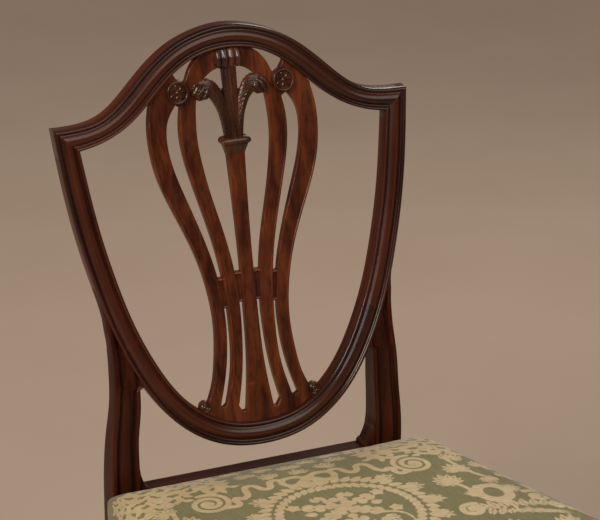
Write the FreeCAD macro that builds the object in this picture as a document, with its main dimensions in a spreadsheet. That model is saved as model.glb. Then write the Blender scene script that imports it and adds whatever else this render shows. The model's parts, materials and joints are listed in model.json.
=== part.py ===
import FreeCAD, Part
import math
import os
import re
import Sketcher
from FreeCAD import Vector

# Shield back dining chair, in millimetres.
# X runs across the chair, the seat faces -Y, Z is up and the floor is Z = 0.
# The origin is on the floor, under the middle of the chair's overall width and depth.

doc = FreeCAD.newDocument("shield_back_chair")

# Driving sizes
sheet = doc.addObject("Spreadsheet::Sheet", "sizes")
SIZES = [
    ("overall_height", 955.0, "floor to the top of the crest"),
    ("back_rake", 12.3, "lean of the shield from upright, degrees"),
    ("back_bow", 7.4, "how far the middle of the back lies behind its ears"),
    ("back_top_y", 239.6, "front of the crest at its middle"),
    ("shield_half_width", 223.0, "middle to the ear of the crest"),
    ("shield_gap", 40.3, "bottom of the shield above the rear rail"),
    ("frame_width", 27.5, "width of crest, stile and lower rail on the front"),
    ("frame_depth", 18.7, "thickness of the shield frame, front to back"),
    ("shield_joint_share", 0.7, "stile to lower rail joint, as a share of the shield's height from its top"),
    ("splat_recess", 5.5, "splat front behind the frame front"),
    ("splat_thickness", 8.0, "pierced board"),
    ("bridge_recess", 2.6, "waist bridges behind the front of the ribs"),
    ("carving_relief", 4.5, "plumes and collar in front of the ribs"),
    ("tongue_thickness", 4.0, "splat and shield tongues, front to back"),
    ("rosette_radius", 13.0, "applied rosettes"),
    ("rosette_thickness", 5.0, "applied rosettes"),
    ("post_front_y", 148.0, "front of the rear posts at the seat"),
    ("post_depth", 32.0, "rear post at the seat, front to back"),
    ("waist_depth", 26.0, "rear post below the shield, front to back"),
    ("post_outer_half", 188.7, "middle to the outer face of a rear post at the seat"),
    ("post_inner_half", 154.0, "middle to the inner face of a rear post at the seat"),
    ("flare_width", 13.0, "bracket of the post over the rear rail"),
    ("rear_rake", 45.0, "rear foot behind the post at the seat"),
    ("rear_foot", 26.0, "rear foot, square"),
    ("rail_top", 432.0, "top of the rear seat rail"),
    ("deck_height", 420.0, "top of the front and side rails"),
    ("rail_bottom", 370.0, "underside of the seat rails"),
    ("rail_thickness", 24.0, "front and side rails"),
    ("rear_rail_thickness", 32.0, "rear seat rail"),
    ("rebate_width", 8.0, "step in the rear rail for the webbing"),
    ("front_half_width", 283.0, "middle to the outer front corner of the seat frame"),
    ("front_y", -250.0, "front of the seat frame"),
    ("leg_square", 38.0, "front leg at the seat rails"),
    ("front_foot", 24.0, "front foot, square"),
    ("tenon_length", 16.0, "seat rail tenons"),
    ("tenon_thickness", 9.0, "seat rail tenons"),
    ("tenon_shoulder", 9.0, "wood above and below a seat rail tenon"),
    ("rear_tenon_inset", 4.0, "rear rail tenon from the back of the post"),
    ("joint_gap", 0.15, "play round a tenon"),
    ("stretcher_height", 135.0, "underside of the side and cross stretchers"),
    ("rear_stretcher_height", 190.0, "underside of the rear stretcher"),
    ("stretcher_depth", 28.0, "stretchers, top to bottom"),
    ("stretcher_width", 14.0, "stretchers across"),
    ("stretcher_shoulder", 6.0, "wood above and below a stretcher tenon"),
    ("stretcher_tenon_length", 10.0, "stretcher tenons in the legs"),
    ("cross_tenon_length", 7.0, "cross stretcher tenons"),
    ("stretcher_front_half", 261.0, "middle to the side stretcher at the front leg"),
    ("stretcher_rear_half", 174.0, "middle to the side stretcher at the rear leg"),
    ("cross_stretcher_y", -20.0, "middle of the cross stretcher"),
    ("block_length", 50.0, "corner block along each rail"),
    ("block_height", 30.0, "corner block, top to bottom"),
    ("block_drop", 6.0, "corner block below the deck"),
    ("screw_radius", 2.2, "corner block screws"),
    ("screw_head_radius", 4.2, "corner block screws"),
    ("screw_head_height", 2.6, "corner block screws"),
    ("screw_grip", 13.0, "screw length in the rail"),
    ("block_grip", 8.0, "block wood under a screw head"),
    ("bore_gap", 0.15, "play round a screw or tack"),
    ("web_width", 46.0, "jute webbing"),
    ("web_thickness", 1.2, "jute webbing"),
    ("hessian_thickness", 0.8, "cloth over the webbing"),
    ("seat_crown", 474.0, "height of the seat at its crown"),
    ("seat_bulge", 8.0, "cover beyond the rails at its fullest"),
    ("cover_thickness", 1.5, "damask cover"),
    ("cloth_gap", 0.3, "air between soft and hard pieces"),
    ("hem_width", 17.0, "cover turned under the rails"),
    ("dust_cloth", 0.8, "cloth under the seat"),
    ("tack_head_radius", 3.0, "tacks"),
    ("tack_head_height", 0.8, "tacks"),
    ("tack_radius", 0.9, "tacks"),
    ("tack_length", 9.0, "tacks"),
]
for row, (alias, number, note) in enumerate(SIZES, start=1):
    sheet.set("A%d" % row, alias)
    sheet.set("B%d" % row, str(number))
    sheet.set("C%d" % row, note)
    sheet.setAlias("B%d" % row, alias)
doc.recompute()
ALIASES = [alias for alias, number, note in SIZES]


def size(alias):
    """A driving size from the sheet, as a number."""
    return float(sheet.get(alias))


def bound(text):
    """A formula over the sheet's names, written so that any object can use it."""
    return re.sub(r"[a-z_]{3,}", lambda word: "sizes." + word[0] if word[0] in ALIASES else word[0], str(text))


def value(text):
    """The number that a formula over the sheet's names gives now."""
    result = sheet.evalExpression(bound(text))
    return float(getattr(result, "Value", result))


def keep(feature, label):
    """Gives a finished sub-part its name and puts it on the list of nodes."""
    feature.Label = label
    NODES.append(feature)
    return feature


NODES = []

# Pieces drawn as sketches


def new_body(label):
    return keep(doc.addObject("PartDesign::Body", label), label)


def plane_of(body, role):
    return [feature for feature in body.Origin.OriginFeatures if feature.Role == role][0]


def new_sketch(body, role, level):
    """A sketch on one of the body's own planes, moved along its normal to a level."""
    sketch = body.newObject("Sketcher::SketchObject", body.Name + "_sketch")
    sketch.AttachmentSupport = [(plane_of(body, role), "")]
    sketch.MapMode = "FlatFace"
    sketch.setExpression("AttachmentOffset.Base.z", bound(level))
    return sketch


def drive(sketch, kind, parts, text):
    """Adds a dimension to a sketch and ties it to a formula."""
    index = sketch.addConstraint(Sketcher.Constraint(kind, *parts, value(text)))
    sketch.setExpression("Constraints[%d]" % index, bound(text))


def add_polygon(sketch, corners):
    """A closed polygon; each corner is a pair of formulas."""
    points = [Vector(value(x), value(y), 0) for x, y in corners]
    lines = []
    for start, end in zip(points, points[1:] + points[:1]):
        lines.append(sketch.addGeometry(Part.LineSegment(start, end), False))
    for line, following in zip(lines, lines[1:] + lines[:1]):
        sketch.addConstraint(Sketcher.Constraint("Coincident", line, 2, following, 1))
    for line, (x, y) in zip(lines, corners):
        drive(sketch, "DistanceX", (-1, 1, line, 1), x)
        drive(sketch, "DistanceY", (-1, 1, line, 1), y)


def add_circle(sketch, x, y, radius):
    circle = sketch.addGeometry(Part.Circle(Vector(value(x), value(y), 0), Vector(0, 0, 1), value(radius)), False)
    drive(sketch, "DistanceX", (-1, 1, circle, 3), x)
    drive(sketch, "DistanceY", (-1, 1, circle, 3), y)
    drive(sketch, "Radius", (circle,), radius)


def push(body, kind, sketch, length, backwards=False):
    feature = body.newObject(kind, body.Name + "_step")
    feature.Profile = sketch
    feature.setExpression("Length", bound(length))
    feature.Reversed = backwards
    body.Tip = feature


def pad(body, role, corners, level, length):
    """Adds a prism over a polygon, along the plane's normal."""
    sketch = new_sketch(body, role, level)
    add_polygon(sketch, corners)
    push(body, "PartDesign::Pad", sketch, length)


def pocket(body, role, polygons, level, length):
    """Cuts prisms under polygons, against the plane's normal."""
    sketch = new_sketch(body, role, level)
    for corners in polygons:
        add_polygon(sketch, corners)
    push(body, "PartDesign::Pocket", sketch, length)


def bore(body, role, centres, radius, level, length, backwards=False):
    """Cuts round holes, against the plane's normal or, backwards, along it."""
    sketch = new_sketch(body, role, level)
    for x, y in centres:
        add_circle(sketch, x, y, radius)
    push(body, "PartDesign::Pocket", sketch, length, backwards)


def times(side, text):
    """A formula for the right side as it is, or turned over for the left side."""
    return "(%s)" % text if side > 0 else "-(%s)" % text


def plan(side, corners):
    """Plan corners of the right side, or their mirror image."""
    return [(times(side, x), y) for x, y in corners]


SIDES = [("left", -1), ("right", 1)]
SPLAY = "((front_half_width - post_outer_half) / (post_front_y - front_y))"
ALONG_SPLAY = "sqrt(1 + %s^2)" % SPLAY
BACK_OF_POST = "(post_front_y + post_depth)"
REAR_FRONT = "(%s - rear_rail_thickness)" % BACK_OF_POST
TENON_FOOT = "(rail_bottom + tenon_shoulder)"
SIDE_TENON_TOP = "(deck_height - tenon_shoulder)"
REAR_TENON_TOP = "(rail_top - tenon_shoulder)"
REAR_TENON_BACK = "(%s - rear_tenon_inset)" % BACK_OF_POST


def outside(y):
    """Distance of the side rail's outer face from the middle, at a depth."""
    return "(post_outer_half + (post_front_y - (%s)) * %s)" % (y, SPLAY)


def inside(y):
    """Distance of the side rail's inner face from the middle, at a depth."""
    return "(%s - rail_thickness * %s)" % (outside(y), ALONG_SPLAY)


def rail_middle(y):
    return "(%s - rail_thickness / 2 * %s)" % (outside(y), ALONG_SPLAY)


def strip(middle, half, front, back):
    """A splayed strip in plan: its middle line, half width, and its two ends."""
    return [
        ("%s - %s" % (middle(front), half), front),
        ("%s + %s" % (middle(front), half), front),
        ("%s + %s" % (middle(back), half), back),
        ("%s - %s" % (middle(back), half), back),
    ]


LEG_BACK = "(front_y + leg_square)"
HALF_SIDE_TENON = "(tenon_thickness / 2 * %s)" % ALONG_SPLAY
HALF_SIDE_MORTISE = "((tenon_thickness / 2 + joint_gap) * %s)" % ALONG_SPLAY
FRONT_MIDDLE = "(front_y + rail_thickness / 2)"
FRONT_BACK = "(front_y + rail_thickness)"


def leg_side(y):
    """Distance of the front leg's inner face from the middle."""
    return "(%s - leg_square)" % outside(y)


# Side stretchers run from the front legs to the rear legs
FRONT_LEG_TAPER = "((leg_square - front_foot) / rail_bottom)"
REAR_SLOPE = "((rear_rake + (post_depth - rear_foot) / 2) / rail_bottom)"
MID_STRETCHER = "(stretcher_height + stretcher_depth / 2)"


def front_leg_back(z):
    return "(front_y + front_foot + (%s) * %s)" % (z, FRONT_LEG_TAPER)


def rear_leg_front(z):
    return "(post_front_y + (rail_bottom - (%s)) * %s)" % (z, REAR_SLOPE)


STRETCH_FRONT = front_leg_back(MID_STRETCHER)
STRETCH_REAR = rear_leg_front(MID_STRETCHER)
STRETCH_SLOPE = "((stretcher_front_half - stretcher_rear_half) / (%s - %s))" % (STRETCH_REAR, STRETCH_FRONT)
HALF_STRETCHER = "(stretcher_width / 2 * sqrt(1 + %s^2))" % STRETCH_SLOPE
HALF_STRETCHER_MORTISE = "(%s + joint_gap)" % HALF_STRETCHER
STRETCH_TENON_FOOT = "(stretcher_height + stretcher_shoulder)"
STRETCH_TENON_TOP = "(stretcher_height + stretcher_depth - stretcher_shoulder)"


def stretcher_middle(y):
    return "(stretcher_rear_half + (%s - (%s)) * %s)" % (STRETCH_REAR, y, STRETCH_SLOPE)


def shoulder_cuts(edge_at, past):
    """Side view of the wood taken off above and below a stretcher tenon."""
    low = "(stretcher_height - 2)"
    high = "(stretcher_height + stretcher_depth + 2)"
    cuts = []
    for outer, inner in ((low, STRETCH_TENON_FOOT), (high, STRETCH_TENON_TOP)):
        cuts.append([(edge_at(outer), outer), (edge_at(inner), inner), (past, inner), (past, outer)])
    return cuts


# Front legs
for name, side in SIDES:
    leg = new_body("front_leg_" + name)
    block = [
        (leg_side("front_y"), "front_y"),
        (outside("front_y"), "front_y"),
        (outside(LEG_BACK), LEG_BACK),
        (leg_side(LEG_BACK), LEG_BACK),
    ]
    foot_back = "(front_y + front_foot)"
    foot = [
        ("(%s - front_foot)" % outside("front_y"), "front_y"),
        (outside("front_y"), "front_y"),
        (outside(foot_back), foot_back),
        ("(%s - front_foot)" % outside(foot_back), foot_back),
    ]
    pad(leg, "XY_Plane", plan(side, block), "rail_bottom", "deck_height - rail_bottom")
    upper = new_sketch(leg, "XY_Plane", "rail_bottom")
    add_polygon(upper, plan(side, block))
    lower = new_sketch(leg, "XY_Plane", "0")
    add_polygon(lower, plan(side, foot))
    taper = leg.newObject("PartDesign::AdditiveLoft", leg.Name + "_taper")
    taper.Profile = upper
    taper.Sections = [lower]
    leg.Tip = taper
    front_mortise = [
        ("%s - 3" % leg_side(FRONT_MIDDLE), "%s - tenon_thickness / 2 - joint_gap" % FRONT_MIDDLE),
        ("%s + tenon_length + joint_gap" % leg_side(FRONT_MIDDLE), "%s - tenon_thickness / 2 - joint_gap" % FRONT_MIDDLE),
        ("%s + tenon_length + joint_gap" % leg_side(FRONT_MIDDLE), "%s + tenon_thickness / 2 + joint_gap" % FRONT_MIDDLE),
        ("%s - 3" % leg_side(FRONT_MIDDLE), "%s + tenon_thickness / 2 + joint_gap" % FRONT_MIDDLE),
    ]
    side_mortise = strip(rail_middle, HALF_SIDE_MORTISE, "%s - tenon_length - joint_gap" % LEG_BACK, "%s + 1" % LEG_BACK)
    pocket(leg, "XY_Plane", [plan(side, front_mortise), plan(side, side_mortise)],
           "%s + joint_gap" % SIDE_TENON_TOP, "%s - %s + 2 * joint_gap" % (SIDE_TENON_TOP, TENON_FOOT))
    stretcher_mortise = strip(stretcher_middle, HALF_STRETCHER_MORTISE,
                              "%s - stretcher_tenon_length - joint_gap" % STRETCH_FRONT, "%s + 2" % STRETCH_FRONT)
    pocket(leg, "XY_Plane", [plan(side, stretcher_mortise)],
           "%s + joint_gap" % STRETCH_TENON_TOP, "%s - %s + 2 * joint_gap" % (STRETCH_TENON_TOP, STRETCH_TENON_FOOT))

# Corner blocks and the places of their screws
BLOCK_TOP = "(deck_height - block_drop)"
BLOCK_MIDDLE = "(%s - block_height / 2)" % BLOCK_TOP
HIGH_SCREW = "(%s + 6)" % BLOCK_MIDDLE
LOW_SCREW = "(%s - 6)" % BLOCK_MIDDLE
REAR_BLOCK_SIDE_Y = "(post_front_y - block_length)"
FRONT_BLOCK_SIDE_Y = "(%s + block_length - 10)" % LEG_BACK
BLOCKS = {
    "rear": {
        "plan": [
            (inside("post_front_y"), "post_front_y"),
            (inside(REAR_BLOCK_SIDE_Y), REAR_BLOCK_SIDE_Y),
            ("%s - block_length" % inside("post_front_y"), "post_front_y"),
        ],
        "rail_face": REAR_FRONT,
        "toward": 1,
        "across_x": "(post_inner_half - 19)",
        "along_y": "(post_front_y - block_length / 2)",
    },
    "front": {
        "plan": [
            ("%s - block_length + 10" % leg_side(FRONT_BACK), FRONT_BACK),
            (leg_side(FRONT_BACK), FRONT_BACK),
            (leg_side(LEG_BACK), LEG_BACK),
            (inside(LEG_BACK), LEG_BACK),
            (inside(FRONT_BLOCK_SIDE_Y), FRONT_BLOCK_SIDE_Y),
        ],
        "rail_face": FRONT_BACK,
        "toward": -1,
        "across_x": "(%s - 25)" % leg_side(FRONT_BACK),
        "along_y": "(%s + 23)" % LEG_BACK,
    },
}
HOLE = "screw_radius + bore_gap"
HEAD_HOLE = "screw_head_radius + bore_gap"


def side_screw_head(block):
    return "(%s - block_grip)" % inside(block["along_y"])


def side_screw_tip(block):
    return "(%s + screw_grip)" % inside(block["along_y"])


def rail_screw_head(block):
    return "(%s - (%d) * block_grip)" % (block["rail_face"], block["toward"])


def rail_screw_tip(block):
    return "(%s + (%d) * screw_grip)" % (block["rail_face"], block["toward"])


REACH = "90"
for end, block in BLOCKS.items():
    for name, side in SIDES:
        body = new_body("corner_block_%s_%s" % (end, name))
        pad(body, "XY_Plane", plan(side, block["plan"]), "%s - block_height" % BLOCK_TOP, "block_height")
        # The front plane's normal is -Y, so a cut runs along +Y unless it is turned round
        across = [(times(side, block["across_x"]), HIGH_SCREW)]
        into_rail = block["toward"] < 0
        bore(body, "XZ_Plane", across, HOLE, "-(%s)" % rail_screw_head(block), REACH, into_rail)
        bore(body, "XZ_Plane", across, HEAD_HOLE, "-(%s)" % rail_screw_head(block), REACH, not into_rail)
        along = [(block["along_y"], LOW_SCREW)]
        bore(body, "YZ_Plane", along, HOLE, times(side, side_screw_head(block)), REACH, side > 0)
        bore(body, "YZ_Plane", along, HEAD_HOLE, times(side, side_screw_head(block)), REACH, side < 0)

# Seat rails, each with its tenons, bores for the block screws and for the tacks under the seat
TACK_HOLE = "tack_radius + bore_gap"
TACK_TOP = "(rail_bottom + tack_length)"
FRONT_TACKS = [("%d" % x, FRONT_MIDDLE) for x in range(-200, 201, 50)]
SIDE_TACK_YS = ["%d" % y for y in range(-180, 121, 60)]
REAR_TACKS = [("%d" % x, "(%s + rear_rail_thickness / 2)" % REAR_FRONT) for x in range(-120, 121, 60)]


def tack_bores(rail, centres):
    bore(rail, "XY_Plane", centres, TACK_HOLE, TACK_TOP, "tack_length + 2")


front_rail = new_body("front_seat_rail")
pad(front_rail, "XY_Plane", [
    ("-(%s)" % leg_side("front_y"), "front_y"),
    (leg_side("front_y"), "front_y"),
    (leg_side(FRONT_BACK), FRONT_BACK),
    ("-(%s)" % leg_side(FRONT_BACK), FRONT_BACK),
], "rail_bottom", "deck_height - rail_bottom")
FRONT_TIP = "(%s + tenon_length)" % leg_side(FRONT_MIDDLE)
pad(front_rail, "XY_Plane", [
    ("-%s" % FRONT_TIP, "%s - tenon_thickness / 2" % FRONT_MIDDLE),
    (FRONT_TIP, "%s - tenon_thickness / 2" % FRONT_MIDDLE),
    (FRONT_TIP, "%s + tenon_thickness / 2" % FRONT_MIDDLE),
    ("-%s" % FRONT_TIP, "%s + tenon_thickness / 2" % FRONT_MIDDLE),
], TENON_FOOT, "%s - %s" % (SIDE_TENON_TOP, TENON_FOOT))
front_screws = [(times(side, BLOCKS["front"]["across_x"]), HIGH_SCREW) for name, side in SIDES]
bore(front_rail, "XZ_Plane", front_screws, HOLE, "-(%s)" % rail_screw_tip(BLOCKS["front"]), "screw_grip + 20")
tack_bores(front_rail, FRONT_TACKS)

rear_rail = new_body("rear_seat_rail")
pad(rear_rail, "XY_Plane", [
    ("-post_inner_half", REAR_FRONT),
    ("post_inner_half", REAR_FRONT),
    ("post_inner_half", BACK_OF_POST),
    ("-post_inner_half", BACK_OF_POST),
], "rail_bottom", "rail_top - rail_bottom")
REAR_TIP = "(post_inner_half + tenon_length)"
pad(rear_rail, "XY_Plane", [
    ("-%s" % REAR_TIP, "%s - tenon_thickness" % REAR_TENON_BACK),
    (REAR_TIP, "%s - tenon_thickness" % REAR_TENON_BACK),
    (REAR_TIP, REAR_TENON_BACK),
    ("-%s" % REAR_TIP, REAR_TENON_BACK),
], TENON_FOOT, "%s - %s" % (REAR_TENON_TOP, TENON_FOOT))
REBATE_HALF = "(post_inner_half - flare_width)"
pocket(rear_rail, "XY_Plane", [[
    ("-%s" % REBATE_HALF, "%s - 1" % REAR_FRONT),
    (REBATE_HALF, "%s - 1" % REAR_FRONT),
    (REBATE_HALF, "%s + rebate_width" % REAR_FRONT),
    ("-%s" % REBATE_HALF, "%s + rebate_width" % REAR_FRONT),
]], "rail_top + 1", "rail_top - deck_height + 1")
rear_screws = [(times(side, BLOCKS["rear"]["across_x"]), HIGH_SCREW) for name, side in SIDES]
bore(rear_rail, "XZ_Plane", rear_screws, HOLE, "-(%s)" % rail_screw_tip(BLOCKS["rear"]), "screw_grip + 20", True)
tack_bores(rear_rail, REAR_TACKS)

for name, side in SIDES:
    rail = new_body("side_seat_rail_" + name)
    body_plan = [
        (inside(LEG_BACK), LEG_BACK),
        (outside(LEG_BACK), LEG_BACK),
        (outside("post_front_y"), "post_front_y"),
        (inside("post_front_y"), "post_front_y"),
    ]
    pad(rail, "XY_Plane", plan(side, body_plan), "rail_bottom", "deck_height - rail_bottom")
    tenons = strip(rail_middle, HALF_SIDE_TENON, "(%s - tenon_length)" % LEG_BACK, "(post_front_y + tenon_length)")
    pad(rail, "XY_Plane", plan(side, tenons), TENON_FOOT, "%s - %s" % (SIDE_TENON_TOP, TENON_FOOT))
    for block in BLOCKS.values():
        hole = [(block["along_y"], LOW_SCREW)]
        bore(rail, "YZ_Plane", hole, HOLE, times(side, side_screw_tip(block)), "screw_grip + 20", side < 0)
    tack_bores(rail, [(times(side, rail_middle(y)), y) for y in SIDE_TACK_YS])

# Stretchers between the legs
for name, side in SIDES:
    stretcher = new_body("side_stretcher_" + name)
    front_tip = "(%s - stretcher_tenon_length)" % STRETCH_FRONT
    rear_tip = "(%s + stretcher_tenon_length)" % STRETCH_REAR
    pad(stretcher, "XY_Plane", plan(side, strip(stretcher_middle, HALF_STRETCHER, front_tip, rear_tip)),
        "stretcher_height", "stretcher_depth")
    cuts = shoulder_cuts(front_leg_back, "(%s - 3)" % front_tip) + shoulder_cuts(rear_leg_front, "(%s + 3)" % rear_tip)
    pocket(stretcher, "YZ_Plane", cuts, times(side, "stretcher_front_half + 40"), "stretcher_front_half")
    if side < 0:
        stretcher.Tip.Reversed = True
    cross_inside = "(%s - %s)" % (stretcher_middle("cross_stretcher_y"), HALF_STRETCHER)
    cross_mortise = [
        ("%s - 4" % cross_inside, "cross_stretcher_y - stretcher_width / 2 - joint_gap"),
        ("%s + cross_tenon_length + joint_gap" % cross_inside, "cross_stretcher_y - stretcher_width / 2 - joint_gap"),
        ("%s + cross_tenon_length + joint_gap" % cross_inside, "cross_stretcher_y + stretcher_width / 2 + joint_gap"),
        ("%s - 4" % cross_inside, "cross_stretcher_y + stretcher_width / 2 + joint_gap"),
    ]
    pocket(stretcher, "XY_Plane", [plan(side, cross_mortise)],
           "%s + joint_gap" % STRETCH_TENON_TOP, "%s - %s + 2 * joint_gap" % (STRETCH_TENON_TOP, STRETCH_TENON_FOOT))

cross = new_body("cross_stretcher")
CROSS_FRONT = "(cross_stretcher_y - stretcher_width / 2)"
CROSS_BACK = "(cross_stretcher_y + stretcher_width / 2)"


def cross_end(y):
    return "(%s - %s)" % (stretcher_middle(y), HALF_STRETCHER)


pad(cross, "XY_Plane", [
    ("-(%s)" % cross_end(CROSS_FRONT), CROSS_FRONT),
    (cross_end(CROSS_FRONT), CROSS_FRONT),
    (cross_end(CROSS_BACK), CROSS_BACK),
    ("-(%s)" % cross_end(CROSS_BACK), CROSS_BACK),
], "stretcher_height", "stretcher_depth")
CROSS_TIP = "(%s + cross_tenon_length)" % cross_end("cross_stretcher_y")
pad(cross, "XY_Plane", [
    ("-%s" % CROSS_TIP, CROSS_FRONT),
    (CROSS_TIP, CROSS_FRONT),
    (CROSS_TIP, CROSS_BACK),
    ("-%s" % CROSS_TIP, CROSS_BACK),
], STRETCH_TENON_FOOT, "%s - %s" % (STRETCH_TENON_TOP, STRETCH_TENON_FOOT))

LEG_INSIDE_SLOPE = "((post_outer_half - rear_foot - post_inner_half) / rail_bottom)"


def rear_leg_side(z):
    return "(post_inner_half + (rail_bottom - (%s)) * %s)" % (z, LEG_INSIDE_SLOPE)


REAR_STRETCH_TOP = "(rear_stretcher_height + stretcher_depth)"
REAR_STRETCH_MIDDLE = "(rear_stretcher_height + stretcher_depth / 2)"
REAR_STRETCH_Y = "(%s + (post_depth + rear_foot) / 4)" % rear_leg_front(REAR_STRETCH_MIDDLE)
REAR_STRETCH_FOOT = "(rear_stretcher_height + stretcher_shoulder)"
REAR_STRETCH_UPPER = "(%s - stretcher_shoulder)" % REAR_STRETCH_TOP
REAR_STRETCH_TIP = "(%s + stretcher_tenon_length)" % rear_leg_side(REAR_STRETCH_MIDDLE)
rear_stretcher = new_body("rear_stretcher")
right_end = [
    (rear_leg_side("rear_stretcher_height"), "rear_stretcher_height"),
    (rear_leg_side(REAR_STRETCH_FOOT), REAR_STRETCH_FOOT),
    (REAR_STRETCH_TIP, REAR_STRETCH_FOOT),
    (REAR_STRETCH_TIP, REAR_STRETCH_UPPER),
    (rear_leg_side(REAR_STRETCH_UPPER), REAR_STRETCH_UPPER),
    (rear_leg_side(REAR_STRETCH_TOP), REAR_STRETCH_TOP),
]
left_end = [(times(-1, x), z) for x, z in reversed(right_end)]
pad(rear_stretcher, "XZ_Plane", right_end + left_end, "-(%s + stretcher_width / 2)" % REAR_STRETCH_Y, "stretcher_width")

# The back: curved pieces cut from a raked and bowed slab


def shaped(label, shape):
    """A finished sub-part whose outline is too free for a sketch."""
    feature = doc.addObject("Part::Feature", label)
    feature.Shape = shape.removeSplitter()
    feature.Placement = FreeCAD.Placement()
    return keep(feature, label)


# Outlines drawn flat on the slope of the back: (distance from the middle, distance below the top).
# They are drawn for a shield 446 wide and 494 high, and scaled to the sizes in the sheet.
DRAWN_HALF_WIDTH = 223.0
DRAWN_HEIGHT = 494.0
CREST_TOP = [(0, 0), (40, 6), (66, 15.5), (88, 28.5), (115.5, 51), (142, 75), (164, 89), (196, 95.5), (223, 95.5)]
CREST_LOW = [(0, 27), (28, 30), (72, 51), (117.5, 91), (133, 102), (153, 112), (173.5, 118.5), (193.5, 122)]
OPENING = [(193.5, 122), (186.2, 174), (177.6, 223.5), (166.6, 270), (149.9, 325.5),
           (127.8, 376), (91.6, 429), (46, 459.5), (0, 467)]
STILE_OUT = [(223, 95.5), (217.7, 145), (210.6, 196), (198.6, 258), (185.5, 314), (179.8, 352),
             (179.6, 385), (183.4, 439), (187.1, 480), (188.7, 520)]
POST_IN = [(150.3, 402), (151.1, 439), (153.4, 467), (154, 497)]
RIB_OUTER_OUT = [(92, 50), (106, 103), (107, 124), (101.5, 166), (82.7, 216), (63.5, 263.5), (51.6, 311),
                 (48.3, 350), (52, 391), (61.6, 429), (70, 446), (84, 470)]
RIB_OUTER_IN = [(70, 87), (80.7, 103), (84.4, 124), (78.8, 162), (65, 203), (51.1, 243.5), (39.6, 286),
                (33.6, 335), (34.4, 370), (41.5, 413), (50, 440), (62, 475)]
RIB_INNER_OUT = [(64, 91), (67, 108), (66, 145), (57.8, 182), (46.8, 223), (37.7, 261), (30.8, 310),
                 (29, 356), (31.5, 399), (42, 441), (54, 475)]
RIB_INNER_IN = [(45.3, 98), (46.6, 124), (43, 160), (35.3, 199), (25.8, 237), (17.4, 280), (13.5, 334),
                (14.5, 366), (18.6, 406), (26, 441), (36, 475)]
ARCH_OUT = [(31, 29.5), (41, 38.5), (48.5, 48), (54.5, 60.5), (60, 76), (64, 91)]
ARCH_IN = [(0, 48.5), (18, 52), (31, 60.5), (41, 76), (45.3, 98)]
BAR = [(11.8, 140), (10.2, 180), (9, 220), (8.2, 275), (8.6, 335), (9.6, 380), (12, 412), (17, 446), (26, 475)]
SPANDREL = [(58, 70), (69, 52), (76, 40), (93, 54), (106, 103), (80.7, 103), (70, 87), (64, 91)]
BASE = [(62, 448), (46, 446), (34, 450), (22, 454), (0, 455)]
BRIDGE = [(42, 291), (42, 327)]
COLLAR = [(15, 131), (18, 134), (18, 139), (15, 142), (17, 147), (17, 151)]
PLUME_MIDDLE = [(0, 25), (11, 28), (17, 38), (14.5, 52), (13.5, 75), (11, 105), (9, 133)]
PLUME_SIDE = [(9, 128), (15, 108), (26, 97), (40, 92), (50, 84), (51.5, 72), (44, 63), (33, 61.5), (22, 68),
              (14, 82), (9, 104)]
ROSETTE = (67, 71.4)
CREST_TONGUES = [
    [(-27, 40), (27, 40), (27, 21), (-27, 21)],
    [(76, 62), (95, 78), (103, 69), (84, 53)],
]
LOWER_TONGUES = [
    [(-34, 455), (34, 455), (34, 473), (-34, 473)],
    [(58, 445), (70, 438), (77, 446), (66, 455)],
]
EAR_TONGUE = [(184, 103.5), (216, 103.5), (205, 112.5), (184, 112.5)]

RAKE = math.radians(size("back_rake"))
TOP_Z = size("overall_height")
WIDE = size("shield_half_width") / DRAWN_HALF_WIDTH
HIGH = (TOP_Z - size("rail_top") - size("shield_gap")) / (DRAWN_HEIGHT * math.cos(RAKE))
FRAME_WIDTH = size("frame_width")
BOW = size("back_bow")
FAR = 400.0


def on_back(x, drop):
    """A point of the back's front view, from its flat drawing."""
    return Vector(x * WIDE, 0, TOP_Z - drop * HIGH * math.cos(RAKE))


def drawn(points):
    return [on_back(x, drop) for x, drop in points]


def turned_over(points):
    """The same points on the other side of the middle, in reverse order."""
    return [Vector(-p.x, p.y, p.z) for p in reversed(points)]


def both_sides(points):
    """Points from the left end over the middle to the right end; the first one is on the middle."""
    return turned_over(points[1:]) + points


def curve(points):
    """A smooth curve through the points."""
    spline = Part.BSplineCurve()
    spline.interpolate(points)
    return spline


def part_of(spline, start, end):
    """The stretch of a curve between two of its points."""
    piece = spline.copy()
    piece.segment(spline.parameter(start), spline.parameter(end))
    return piece.toShape()


def edges(*runs):
    """Edges for runs of points (curves) and pairs of points (lines); finished edges pass through."""
    made = []
    for run in runs:
        if isinstance(run, Part.Shape):
            made.append(run)
        elif len(run) == 2:
            made.append(Part.makeLine(run[0], run[1]))
        else:
            made.append(curve(run).toShape())
    return made


def face(*runs):
    """A flat face inside a ring of runs."""
    return Part.Face(Part.Wire(Part.sortEdges(edges(*runs))[0]))


def polygon(points):
    return Part.Face(Part.makePolygon(points + points[:1]))


def through(flat):
    """A face pushed through the whole depth of the chair."""
    return flat.translated(Vector(0, -FAR, 0)).extrude(Vector(0, 2 * FAR, 0))


def beside(points, distance):
    """Points set off at right angles from a curve in the front view, to its left."""
    line = curve(points)
    moved = []
    for point in points:
        tangent = line.tangent(line.parameter(point))[0]
        moved.append(point + Vector(-tangent.z, 0, tangent.x) * distance)
    return moved


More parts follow.
